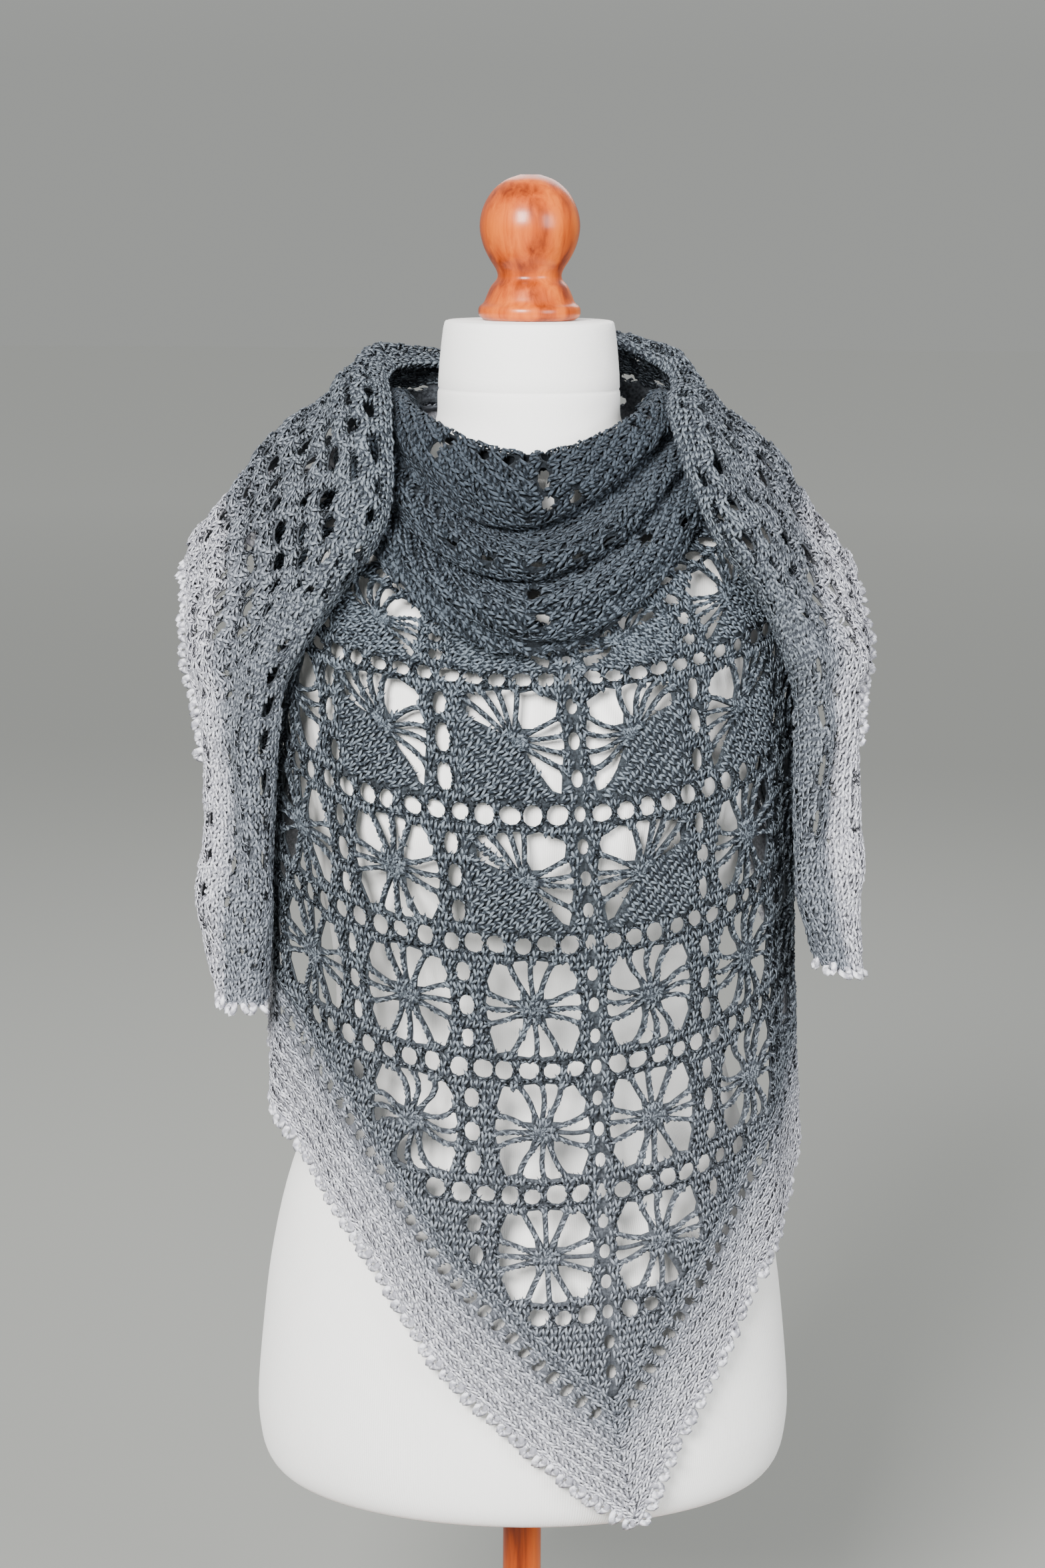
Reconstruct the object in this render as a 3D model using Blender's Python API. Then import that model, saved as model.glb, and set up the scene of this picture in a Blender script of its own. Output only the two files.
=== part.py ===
# Crochet lace shawl worn round a limbless dress form. Metres, +Z up, the form faces -Y.
import math

import bpy
import numpy as np
from mathutils import Vector
from mathutils.geometry import delaunay_2d_cdt

# Stand and form
BASE_RADIUS = 0.150
BASE_HEIGHT = 0.025
BASE_ROUNDING = 0.006
BASE_SIDES = 36
TURNED_SIDES = 20
POLE_RADIUS = 0.013
FORM_LIFT = 0.250
FINIAL_HEIGHT = 0.091
FINIAL_RADIUS = 0.032
TORSO_SIDES = 32
BUST_SPREAD = 0.075
BUST_HEIGHT = 0.465
BUST_DEPTH = 0.0262
BUST_SIZE = 0.055

# Cloth
WALL = 0.002
SEAM_GAP = 0.00018
FACE_GAP = 0.0003
CELL_WIDTH = 0.0712
TIER_HEIGHT = 0.0815
FIRST_TIER = 0.2585
TIERS = 6
BORDER_DROP = 0.085
HOOP_RADIUS = 0.152
BACK_END = math.radians(148)
ACROSS_STEP = 0.029
GRID_CLEARANCE = 0.26
ROW_LINES = (
    0.150, 0.1675, 0.185, 0.2025, 0.220, 0.2385, 0.2585, 0.285, 0.3125, 0.340, 0.367, 0.394,
    0.4215, 0.4485, 0.476, 0.503, 0.530, 0.557, 0.5845, 0.612, 0.639, 0.666, 0.693, 0.720, 0.7475, 0.775,
)

# Torso rings: front height, side height, half width, front depth, back depth
TORSO_RINGS = (
    (0.000, 0.000, 0.150, 0.100, 0.095),
    (0.004, 0.004, 0.165, 0.112, 0.107),
    (0.014, 0.014, 0.174, 0.119, 0.114),
    (0.030, 0.030, 0.1785, 0.122, 0.117),
    (0.055, 0.055, 0.180, 0.123, 0.119),
    (0.100, 0.100, 0.1765, 0.122, 0.119),
    (0.150, 0.150, 0.1705, 0.118, 0.116),
    (0.200, 0.200, 0.160, 0.111, 0.111),
    (0.250, 0.250, 0.144, 0.102, 0.101),
    (0.300, 0.300, 0.130, 0.094, 0.090),
    (0.330, 0.330, 0.126, 0.091, 0.086),
    (0.370, 0.370, 0.129, 0.095, 0.088),
    (0.410, 0.410, 0.1365, 0.103, 0.094),
    (0.450, 0.450, 0.145, 0.109, 0.100),
    (0.490, 0.490, 0.152, 0.112, 0.106),
    (0.530, 0.530, 0.158, 0.110, 0.110),
    (0.570, 0.570, 0.164, 0.103, 0.110),
    (0.605, 0.612, 0.168, 0.093, 0.106),
    (0.632, 0.636, 0.164, 0.082, 0.098),
    (0.655, 0.658, 0.143, 0.072, 0.087),
    (0.675, 0.677, 0.103, 0.064, 0.074),
    (0.690, 0.691, 0.074, 0.060, 0.064),
    (0.705, 0.706, 0.061, 0.058, 0.059),
    (0.727, 0.727, 0.0585, 0.0565, 0.0565),
    (0.765, 0.765, 0.0545, 0.053, 0.053),
    (0.770, 0.770, 0.0515, 0.050, 0.050),
)

# Finial profile: share of the height, share of the radius
FINIAL_PROFILE = (
    (0.000, 0.90), (0.030, 1.00), (0.085, 1.00), (0.120, 0.90), (0.170, 0.84), (0.230, 0.76),
    (0.285, 0.64), (0.340, 0.66), (0.420, 0.80), (0.520, 0.93), (0.640, 0.99), (0.760, 0.93),
    (0.870, 0.76), (0.950, 0.50), (0.990, 0.20),
)

# Front of the shawl, a row for each line of the lace: distance down the cloth, front, side and
# back height, half width, front depth, back depth, turn of the middle line in radians
SHELL_ROWS = (
    (0.1500, 0.592, 0.681, 0.670, 0.106, 0.116, 0.100, 0.110),
    (0.1850, 0.588, 0.662, 0.664, 0.148, 0.118, 0.106, 0.120),
    (0.2200, 0.578, 0.638, 0.656, 0.170, 0.120, 0.112, 0.130),
    (0.2585, 0.5595, 0.606, 0.645, 0.1735, 0.1235, 0.116, 0.145),
    (0.3400, 0.478, 0.528, 0.624, 0.1730, 0.1385, 0.119, 0.185),
    (0.4215, 0.3974, 0.447, 0.596, 0.1705, 0.1390, 0.118, 0.225),
    (0.5030, 0.3165, 0.369, 0.556, 0.1690, 0.1355, 0.116, 0.247),
    (0.5845, 0.235, 0.287, 0.480, 0.1720, 0.1325, 0.117, 0.268),
    (0.6660, 0.154, 0.206, 0.400, 0.1770, 0.1305, 0.119, 0.288),
    (0.7475, 0.073, 0.125, 0.300, 0.1825, 0.1300, 0.120, 0.308),
    (0.8200, 0.001, 0.055, 0.200, 0.1860, 0.1300, 0.120, 0.322),
)
SHELL_SHIFT = 0.003
SHIFT_FROM = 0.30
SHIFT_TO = 0.50
SHOULDER_LINE = 0.185
FOLD_GROWTH = 0.2

# Hem: distance from the middle line, distance down the cloth
HEM_LEFT = (
    (0.000, 0.812), (0.030, 0.776), (0.060, 0.738), (0.088, 0.705), (0.120, 0.660),
    (0.145, 0.629), (0.197, 0.589), (0.243, 0.568), (0.300, 0.540), (0.420, 0.490), (0.500, 0.470),
)
HEM_RIGHT = (
    (0.000, 0.812), (0.040, 0.748), (0.080, 0.702), (0.106, 0.675), (0.155, 0.650),
    (0.204, 0.618), (0.243, 0.583), (0.300, 0.533), (0.420, 0.470), (0.500, 0.450),
)

# Soft upright folds: place across, half width, depth, distance down the cloth where they begin
HANGING_FOLDS = (
    (-0.215, 0.017, 0.009, 0.36),
    (-0.160, 0.018, 0.004, 0.46),
    (-0.095, 0.022, 0.004, 0.50),
    (0.055, 0.020, 0.003, 0.50),
    (0.120, 0.018, 0.004, 0.44),
    (0.185, 0.016, 0.004, 0.34),
)

# Cowl rows from the neck edge down: front height, side height, front radius, side radius
COWL_ROWS = (
    (0.682, 0.714, 0.070, 0.072),
    (0.692, 0.724, 0.079, 0.084),
    (0.668, 0.718, 0.099, 0.097),
    (0.644, 0.706, 0.095, 0.094),
    (0.632, 0.706, 0.119, 0.108),
    (0.616, 0.695, 0.118, 0.106),
    (0.600, 0.691, 0.138, 0.118),
    (0.577, 0.682, 0.135, 0.122),
    (0.583, 0.686, 0.1215, 0.114),
)
COWL_REACH = math.radians(104)
COWL_SIDES = 24

# Stretch over each shoulder and down in front, a row for each section:
# inner edge x y z, outer edge x y z, bulge, roll along the inner edge, direction of the
# bulge x y z, inward turn
LEFT_SECTIONS = (
    (0.045, 0.078, 0.682, 0.062, 0.110, 0.552, 0.003, 0.000, 0.0, 1.0, 0.0, 0.0),
    (0.000, 0.074, 0.733, 0.000, 0.109, 0.618, 0.003, 0.000, 0.0, 1.0, 0.2, 0.0),
    (-0.040, 0.062, 0.739, -0.047, 0.081, 0.690, 0.003, 0.003, -0.2, 1.0, 0.5, 0.0),
    (-0.078, 0.034, 0.739, -0.114, 0.102, 0.657, 0.012, 0.009, -0.5, 0.5, 0.7, 0.0),
    (-0.090, 0.000, 0.733, -0.211, 0.035, 0.612, 0.016, 0.008, -0.6, 0.1, 0.8, 0.0),
    (-0.086, -0.054, 0.716, -0.2125, 0.000, 0.592, 0.016, 0.008, -0.6, -0.5, 0.6, 0.0),
    (-0.087, -0.106, 0.654, -0.2135, -0.020, 0.580, 0.018, 0.006, -0.3, -1.0, 0.25, 0.1),
    (-0.119, -0.106, 0.603, -0.2115, -0.032, 0.548, 0.018, 0.002, -0.2, -1.0, 0.0, 0.4),
    (-0.151, -0.092, 0.545, -0.199, -0.052, 0.520, 0.016, 0.000, -0.1, -1.0, 0.0, 0.9),
    (-0.157, -0.084, 0.475, -0.197, -0.056, 0.460, 0.015, 0.000, 0.0, -1.0, 0.0, 1.2),
    (-0.160, -0.081, 0.405, -0.202, -0.054, 0.400, 0.015, 0.000, 0.0, -1.0, 0.0, 1.2),
    (-0.166, -0.078, 0.345, -0.192, -0.060, 0.350, 0.010, 0.000, 0.0, -1.0, 0.0, 0.6),
)
RIGHT_SECTIONS = (
    (-0.045, 0.094, 0.688, -0.062, 0.119, 0.552, 0.003, 0.000, 0.0, 1.0, 0.0, 0.0),
    (0.000, 0.088, 0.740, 0.000, 0.122, 0.608, 0.004, 0.000, 0.0, 1.0, 0.2, 0.0),
    (0.045, 0.072, 0.754, 0.056, 0.113, 0.668, 0.007, 0.004, 0.2, 1.0, 0.5, 0.0),
    (0.078, 0.040, 0.744, 0.116, 0.110, 0.650, 0.010, 0.004, 0.5, 0.5, 0.7, 0.0),
    (0.092, 0.006, 0.732, 0.203, 0.036, 0.604, 0.011, 0.002, 0.6, 0.1, 0.8, 0.0),
    (0.088, -0.052, 0.712, 0.206, 0.000, 0.590, 0.012, 0.004, 0.6, -0.5, 0.6, 0.0),
    (0.112, -0.100, 0.650, 0.211, -0.020, 0.573, 0.015, 0.004, 0.3, -1.0, 0.25, 0.1),
    (0.146, -0.092, 0.600, 0.2115, -0.036, 0.550, 0.015, 0.000, 0.2, -1.0, 0.0, 0.5),
    (0.167, -0.078, 0.538, 0.202, -0.052, 0.530, 0.013, 0.000, 0.1, -1.0, 0.0, 1.0),
    (0.167, -0.074, 0.475, 0.205, -0.051, 0.470, 0.013, 0.000, 0.0, -1.0, 0.0, 1.2),
    (0.170, -0.072, 0.420, 0.208, -0.050, 0.420, 0.012, 0.000, 0.0, -1.0, 0.0, 1.2),
    (0.184, -0.068, 0.374, 0.211, -0.054, 0.366, 0.009, 0.000, 0.0, -1.0, 0.0, 0.6),
)
JOIN_SECTION = 7.0
BLEND_SECTIONS = 1.0
RUN_ON = 0.05
SEAM_STEPS = 18
OVER_STEPS = 10
ROWS_PER_SECTION = 3.2
SECTION_LENGTH = 0.06
SECTION_WIDTH = 0.16
FLAT_SCALE = np.array([SECTION_LENGTH, SECTION_WIDTH])
SECTION_SEAM = 0.004
ROLL_PLACE = 0.17
ROLL_WIDTH = 0.12
RIPPLE_COUNT = 3.0
RIPPLE_DEPTH = 0.0022

# Flowers of the lace: a window of strands round a hub, with bearings in degrees from the top
WINDOW_WIDTH = 0.053
WINDOW_HEIGHT = 0.060
WINDOW_ROUNDING = 0.10
HUB_RADIUS = 0.0075
STRAND_WIDTH = 0.0032
CORNER_GAPS = ((25, 65), (115, 155), (205, 245), (295, 335))
UPPER_GAPS = ((-25, 0), (0, 25))
LEFT_HALF_GAPS = ((25, 65), (-25, 0), (0, 25), (90, 115))
RIGHT_HALF_GAPS = ((295, 335), (-25, 0), (0, 25), (245, 270))
HALF_FLOWER_LIMIT = 3
COLUMNS = 6
MESH_GAP_WIDTH = 0.0105
MESH_GAP_HEIGHT = 0.0115
MESH_GAP_PLACES = (0.3, 0.7)
MESH_COLUMNS = 5
GAP_MARGIN = 0.0035

# Gaps of the gathered stretches, placed by section and share of the way over
SHOULDER_GAP_SECTIONS = (2.7, 3.15, 3.6, 4.05, 4.5, 4.95, 5.4, 5.85, 6.3)
SHOULDER_GAP_SHARES = (0.22, 0.42)
SHOULDER_GAP_SWAY = 0.05
SHOULDER_GAP_SIZE = (0.15, 0.12)
TAIL_GAP_SECTIONS = (7.6, 8.2, 8.8, 9.4, 10.0)
TAIL_GAP_SHARE = 0.5
TAIL_GAP_SIZE = (0.16, 0.15)

# Colour and roughness of each finish
JERSEY = ((0.86, 0.86, 0.85), 0.85)
TURNED_WOOD = ((0.38, 0.13, 0.045), 0.35)
DARK_WOOL = ((0.055, 0.062, 0.075), 0.9)
GREY_WOOL = ((0.13, 0.14, 0.16), 0.9)
PALE_WOOL = ((0.42, 0.41, 0.44), 0.9)


def start_clean():
    for thing in list(bpy.data.objects):
        bpy.data.objects.remove(thing, do_unlink=True)


def material_for(name, finish):
    color, roughness = finish
    material = bpy.data.materials.new(name + "_finish")
    material.use_nodes = True
    shader = material.node_tree.nodes["Principled BSDF"]
    shader.inputs["Base Color"].default_value = (*color, 1.0)
    shader.inputs["Roughness"].default_value = roughness
    shader.inputs["Metallic"].default_value = 0.0
    return material


def solid(name, points, faces, finish):
    mesh = bpy.data.meshes.new(name)
    mesh.from_pydata([tuple(p) for p in points], [], [tuple(f) for f in faces])
    mesh.validate()
    mesh.materials.append(material_for(name, finish))
    mesh.shade_smooth()
    bpy.context.scene.collection.objects.link(bpy.data.objects.new(name, mesh))


def smooth_rows(keys, rows, at):
    # cubic curve through a table's rows, read at the places asked for
    keys = np.asarray(keys, float)
    rows = np.asarray(rows, float)
    at = np.clip(np.asarray(at, float), keys[0], keys[-1])
    slopes = np.gradient(rows, keys, axis=0)
    row = np.clip(np.searchsorted(keys, at, side="right") - 1, 0, len(keys) - 2)
    span = (keys[row + 1] - keys[row])[:, None]
    u = (at - keys[row])[:, None] / span
    start = (1 + 2 * u) * (1 - u) ** 2 * rows[row]
    leave = u * (1 - u) ** 2 * span * slopes[row]
    arrive = u * u * (u - 1) * span * slopes[row + 1]
    return start + leave + u * u * (3 - 2 * u) * rows[row + 1] + arrive


# Form and stand

def torso_point(ring, angle):
    front_height, side_height, half_width, front_depth, back_depth = ring
    x = half_width * math.sin(angle)
    z = front_height + (side_height - front_height) * math.sin(angle) ** 2
    depth = front_depth if math.cos(angle) > 0 else back_depth
    y = -depth * math.cos(angle)
    if math.cos(angle) > 0:
        for side in (-1, 1):
            away = (x - side * BUST_SPREAD) ** 2 + (z - BUST_HEIGHT) ** 2
            y -= BUST_DEPTH * math.exp(-away / (2 * BUST_SIZE ** 2)) * math.cos(angle) ** 0.5
    return x, y, z + FORM_LIFT


def ring_solid(name, rings, sides, finish):
    # closed solid through rings of points, with a fan on each end
    points = [p for ring in rings for p in ring]
    faces = []
    for row in range(len(rings) - 1):
        for side in range(sides):
            a = row * sides + side
            b = row * sides + (side + 1) % sides
            faces.append((a, b, b + sides, a + sides))
    faces.append(tuple(reversed(range(sides))))
    faces.append(tuple(range(len(points) - sides, len(points))))
    solid(name, points, faces, finish)


def turned(name, profile, sides, finish):
    # solid of revolution round the pole from rows of radius and height
    rings = []
    for radius, height in profile:
        turns = [2 * math.pi * i / sides for i in range(sides)]
        rings.append([(radius * math.cos(a), radius * math.sin(a), height) for a in turns])
    ring_solid(name, rings, sides, finish)


def build_form():
    rings = []
    for ring in TORSO_RINGS:
        turns = [2 * math.pi * i / TORSO_SIDES for i in range(TORSO_SIDES)]
        rings.append([torso_point(ring, a) for a in turns])
    ring_solid("form_torso", rings, TORSO_SIDES, JERSEY)

    neck_top = FORM_LIFT + TORSO_RINGS[-1][0] + FACE_GAP
    finial = [(FINIAL_RADIUS * r, neck_top + FINIAL_HEIGHT * h) for h, r in FINIAL_PROFILE]
    turned("form_finial", finial, TURNED_SIDES, TURNED_WOOD)
    pole = [(POLE_RADIUS, BASE_HEIGHT + FACE_GAP), (POLE_RADIUS, FORM_LIFT - FACE_GAP)]
    turned("form_pole", pole, TURNED_SIDES, TURNED_WOOD)
    base = [
        (BASE_RADIUS, 0.0),
        (BASE_RADIUS, BASE_HEIGHT - BASE_ROUNDING),
        (BASE_RADIUS - 0.3 * BASE_ROUNDING, BASE_HEIGHT - 0.3 * BASE_ROUNDING),
        (BASE_RADIUS - BASE_ROUNDING, BASE_HEIGHT),
    ]
    turned("form_base", base, BASE_SIDES, TURNED_WOOD)


# Cloth surfaces

def shell_point(chart):
    # chart columns: distance across from the middle line, distance down the cloth
    across = chart[:, 0]
    down = chart[:, 1]
    table = np.asarray(SHELL_ROWS)
    row = smooth_rows(table[:, 0], table[:, 1:], down)
    front, side, back, half_width, front_depth, back_depth, middle = row.T
    angle = middle + across / HOOP_RADIUS
    cos = np.cos(angle)
    sin = np.sin(angle)
    upper = np.clip((FIRST_TIER - down) / (FIRST_TIER - SHOULDER_LINE), 0, 1)
    lift = (1 - cos) * (1 - upper) + sin ** 2 * upper
    z = np.where(cos > 0, front + (side - front) * lift, side - (back - side) * cos)
    depth = np.where(cos > 0, front_depth, back_depth)
    fold = np.zeros(len(chart))
    for place, width, height, start in HANGING_FOLDS:
        grown = np.clip((down - start) / FOLD_GROWTH, 0, 1)
        fold += height * grown * np.exp(-((across - place) / width) ** 2)
    shift = SHELL_SHIFT * np.clip((down - SHIFT_FROM) / (SHIFT_TO - SHIFT_FROM), 0, 1)
    x = (half_width + fold) * sin + shift
    y = -(depth + fold) * cos
    return np.stack([x, y, z + FORM_LIFT], 1)


def cowl_point(chart):
    # chart columns: angle round the neck from the front, row of the table
    angle = chart[:, 0]
    row = smooth_rows(range(len(COWL_ROWS)), COWL_ROWS, chart[:, 1])
    front, side, front_radius, side_radius = row.T
    share = np.where(np.abs(angle) < math.pi / 2, np.sin(angle) ** 2, 1.0)
    radius = front_radius + (side_radius - front_radius) * share
    z = front + (side - front) * share
    return np.stack([radius * np.sin(angle), -radius * np.cos(angle), z + FORM_LIFT], 1)


def section_point(sections, chart):
    # chart columns: section along the stretch, share of the way from inner to outer edge
    row = smooth_rows(range(len(sections)), sections, chart[:, 0])
    inner = row[:, 0:3]
    outer = row[:, 3:6]
    bulge = row[:, 6]
    roll = row[:, 7]
    push = row[:, 8:11]
    turn = row[:, 11]
    half = (inner - outer) / 2
    along = half / np.linalg.norm(half, axis=1, keepdims=True)
    push = push - along * (push * along).sum(1, keepdims=True)
    push = push / np.linalg.norm(push, axis=1, keepdims=True)
    share = chart[:, 1]
    swing = -turn + (math.pi + turn) * share
    ripple = RIPPLE_DEPTH * np.sin(2 * math.pi * RIPPLE_COUNT * share) * np.sin(math.pi * share)
    rise = bulge * np.sin(swing) + roll * np.exp(-((share - ROLL_PLACE) / ROLL_WIDTH) ** 2) + ripple
    point = (inner + outer) / 2 + half * np.cos(swing)[:, None] + push * rise[:, None]
    return point + np.array([0, 0, FORM_LIFT])


def run_on(side, chart):
    # the front panel's own surface, run on past its back end from neck edge to hem
    lowest = hem_down(side, end_across(side))
    top = SHELL_ROWS[0][0]
    down = top + (lowest - top) * chart[:, 1]
    across = back_across(side, down) + side * RUN_ON * chart[:, 0]
    return shell_point(np.stack([across, down], 1))


def wrap_point(side, chart):
    # a stretch starts on the back end of the panel from the other side
    sections = LEFT_SECTIONS if side < 0 else RIGHT_SECTIONS
    near = np.clip(chart[:, 0] / BLEND_SECTIONS, 0, 1)
    near = (near * near * (3 - 2 * near))[:, None]
    return near * section_point(sections, chart) + (1 - near) * run_on(-side, chart)


def hem_down(side, across):
    table = np.asarray(HEM_LEFT if side < 0 else HEM_RIGHT)
    return smooth_rows(table[:, 0], table[:, 1:], np.atleast_1d(across))[:, 0]


def back_across(side, down):
    # distance across at which a row of the lace reaches the back end of its panel
    table = np.asarray(SHELL_ROWS)
    middle = smooth_rows(table[:, 0], table[:, 7:8], np.atleast_1d(down))[:, 0]
    return HOOP_RADIUS * (side * BACK_END - middle)


def end_across(side):
    across = 0.38
    for _ in range(12):
        across = abs(back_across(side, hem_down(side, across)))[0]
    return across


# Sheets cut in the flat and given their wall

def inside_loops(points, starts, ends):
    inside = np.zeros(len(points), bool)
    for (x0, y0), (x1, y1) in zip(starts, ends):
        crosses = (points[:, 1] < y0) != (points[:, 1] < y1)
        if y0 != y1:
            at = x0 + (points[:, 1] - y0) * (x1 - x0) / (y1 - y0)
            inside ^= crosses & (points[:, 0] < at)
    return inside


def clear_of(points, starts, ends, distance):
    clear = np.ones(len(points), bool)
    for start, end in zip(starts, ends):
        way = end - start
        share = np.clip(((points - start) @ way) / (way @ way), 0, 1)
        clear &= np.linalg.norm(points - start - share[:, None] * way, axis=1) > distance
    return clear


def cut_sheet(outline, holes, step, lines):
    # triangles over an outline with holes in the flat, with inner points along the lines
    loops = [np.asarray(loop, float) for loop in [outline] + holes]
    points = np.concatenate(loops)
    starts = points
    ends = np.concatenate([np.roll(loop, -1, axis=0) for loop in loops])
    edges = []
    first = 0
    for loop in loops:
        edges += [(first + i, first + (i + 1) % len(loop)) for i in range(len(loop))]
        first += len(loop)
    low = loops[0][:, 0].min()
    high = loops[0][:, 0].max()
    places = range(int((high - low) / step) + 2)
    grid = np.array([(low + step * (i + 0.5 * (row % 2)), line) for row, line in enumerate(lines) for i in places])
    grid = grid[inside_loops(grid, starts, ends)]
    grid = grid[clear_of(grid, starts, ends, GRID_CLEARANCE * step)]
    corners = [Vector(p) for p in np.concatenate([points, grid])]
    found = delaunay_2d_cdt(corners, edges, [], 0, 1e-7)
    flat = np.array([(v.x, v.y) for v in found[0]])
    faces = np.array([f for f in found[2]])
    faces = faces[inside_loops(flat[faces].mean(1), starts, ends)]
    used = np.unique(faces)
    order = np.full(len(flat), -1)
    order[used] = np.arange(len(used))
    return flat[used], order[faces]


def walled(name, surface, chart, triangles, out, finish):
    # the surface is the inner face; the outer face stands off by the wall thickness
    tiny = 1e-5
    middle = surface(chart)
    first = surface(chart + (tiny, 0)) - surface(chart - (tiny, 0))
    second = surface(chart + (0, tiny)) - surface(chart - (0, tiny))
    normal = np.cross(first, second) * out
    normal /= np.linalg.norm(normal, axis=1, keepdims=True)
    corner = chart[triangles]
    edge_a = corner[:, 1] - corner[:, 0]
    edge_b = corner[:, 2] - corner[:, 0]
    positive = edge_a[:, 0] * edge_b[:, 1] - edge_a[:, 1] * edge_b[:, 0] > 0
    turned_over = positive == (out < 0)
    triangles = np.where(turned_over[:, None], triangles[:, ::-1], triangles)
    count = len(chart)
    points = np.concatenate([middle, middle + normal * WALL])
    faces = [tuple(t + count) for t in triangles] + [tuple(t[::-1]) for t in triangles]
    sides = {(a, b) for t in triangles for a, b in zip(t, np.roll(t, -1))}
    for a, b in sorted(sides):
        if (b, a) in sides:
            continue
        # the two sheets at a seam split their facing edges along the same diagonal
        if tuple(np.abs(chart[a])) < tuple(np.abs(chart[b])):
            faces += [(b + count, a + count, b), (a + count, a, b)]
        else:
            faces += [(b + count, a + count, a), (b + count, a, b)]
    solid(name, points, faces, finish)


def grid_sheet(firsts, seconds):
    chart = np.array([(a, b) for a in firsts for b in seconds])
    wide = len(seconds)
    triangles = []
    for i in range(len(firsts) - 1):
        for j in range(wide - 1):
            a = i * wide + j
            triangles += [(a, a + wide, a + wide + 1), (a, a + wide + 1, a + 1)]
    return chart, np.array(triangles)


# Lace

def flower_gap(center, start, end):
    # opening between two strands, wide at the window's frame and narrow at the hub
    def at(bearing, reach):
        turn = math.radians(bearing)
        across = math.sin(turn)
        up = math.cos(turn)
        edge = 1 / max(abs(across) / (WINDOW_WIDTH / 2), abs(up) / (WINDOW_HEIGHT / 2))
        round_edge = edge * (1 - WINDOW_ROUNDING * math.sin(2 * turn) ** 2)
        radius = HUB_RADIUS + (round_edge - HUB_RADIUS) * reach
        return center[0] + radius * across, center[1] - radius * up

    def trim(reach):
        radius = HUB_RADIUS + (WINDOW_WIDTH / 2 - HUB_RADIUS) * reach
        return math.degrees(STRAND_WIDTH / 2 / radius)

    middle = (start + end) / 2
    return [
        at(middle, 0.10),
        at(end - trim(0.6), 0.6),
        at(end - trim(0.97), 0.97),
        at(start + trim(0.97), 0.97),
        at(start + trim(0.6), 0.6),
    ]


def diamond(across, down, width, height):
    return [
        (across, down - height / 2),
        (across + width / 2, down),
        (across, down + height / 2),
        (across - width / 2, down),
    ]


def flower_gaps(side, column, tier):
    # the widest gaps of a flower: its four corners, and those beside the upper upright strand
    center = (side * (column - 0.5) * CELL_WIDTH, FIRST_TIER + (tier + 0.5) * TIER_HEIGHT)
    pairs = CORNER_GAPS + UPPER_GAPS
    if tier + column < HALF_FLOWER_LIMIT:
        pairs = LEFT_HALF_GAPS if side < 0 else RIGHT_HALF_GAPS
    return [flower_gap(center, start, end) for start, end in pairs]


def mesh_row_gaps(side, column, tier):
    down = FIRST_TIER + tier * TIER_HEIGHT
    return [
        diamond(side * (column - 1 + place) * CELL_WIDTH, down, MESH_GAP_WIDTH, MESH_GAP_HEIGHT)
        for place in MESH_GAP_PLACES
    ]


def panel_gaps(side, starts, ends):
    gaps = []
    for column in range(1, COLUMNS + 1):
        for tier in range(TIERS):
            gaps += flower_gaps(side, column, tier)
            if 0 < tier and column < MESH_COLUMNS:
                gaps += mesh_row_gaps(side, column, tier)
    kept = []
    for gap in gaps:
        points = np.asarray(gap)
        if inside_loops(points, starts, ends).all() and clear_of(points, starts, ends, GAP_MARGIN).all():
            kept.append(gap)
    return kept


def back_rows(side):
    # distances down the cloth where points lie on a panel's back end, and the seam's place there
    seam = hem_down(side, end_across(side))[0] - BORDER_DROP
    hem = hem_down(side, end_across(side))[0]
    lace = [line for line in ROW_LINES if line < seam - 0.008] + [seam]
    return np.array(lace), np.linspace(seam, hem, 4)


def build_panel(side, word):
    far = end_across(side)
    lace_rows, border_rows = back_rows(side)
    across = np.linspace(0, far, SEAM_STEPS + 1)
    hem = np.stack([side * across, hem_down(side, across)], 1)
    seam_far = abs(back_across(side, lace_rows[-1:]))[0]
    across = across * seam_far / far
    seam = np.stack([side * across, hem_down(side, across) - BORDER_DROP], 1)
    seam[-1, 1] = lace_rows[-1]
    gap = np.array([0, SEAM_GAP])
    corner = np.array([side * SEAM_GAP, 0])
    top = ROW_LINES[0]

    back = np.stack([back_across(side, lace_rows), lace_rows], 1)
    rim = np.stack([np.linspace(back[0, 0], side * SEAM_GAP, 15), np.full(15, top)], 1)
    middle_down = np.array([line for line in ROW_LINES if top < line < seam[0, 1] - 0.008])
    middle = np.stack([np.full(len(middle_down), side * SEAM_GAP), middle_down], 1)
    outline = np.concatenate([middle, seam[:1] - gap + corner, seam[1:] - gap, back[1:-1][::-1], rim])
    holes = panel_gaps(side, outline, np.roll(outline, -1, axis=0))
    chart, triangles = cut_sheet(outline, holes, ACROSS_STEP, ROW_LINES)
    walled("shawl_front_" + word, shell_point, chart, triangles, 1, GREY_WOOL)

    back = np.stack([back_across(side, border_rows), border_rows], 1)
    tip_down = np.linspace(hem[0, 1], seam[0, 1], 4)[:-1]
    tip = np.stack([np.full(3, side * SEAM_GAP), tip_down], 1)
    outline = np.concatenate([tip, seam[:1] + gap + corner, seam[1:] + gap, back[1:], hem[1:-1][::-1]])
    chart, triangles = cut_sheet(outline, [], ACROSS_STEP, ROW_LINES)
    walled("shawl_edging_" + word, shell_point, chart, triangles, 1, PALE_WOOL)


def shoulder_gaps():
    return [
        diamond(section, share + SHOULDER_GAP_SWAY * math.sin(5 * section), *SHOULDER_GAP_SIZE)
        for section in SHOULDER_GAP_SECTIONS
        for share in SHOULDER_GAP_SHARES
    ]


def tail_gaps():
    return [diamond(section, TAIL_GAP_SHARE, *TAIL_GAP_SIZE) for section in TAIL_GAP_SECTIONS]


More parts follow.
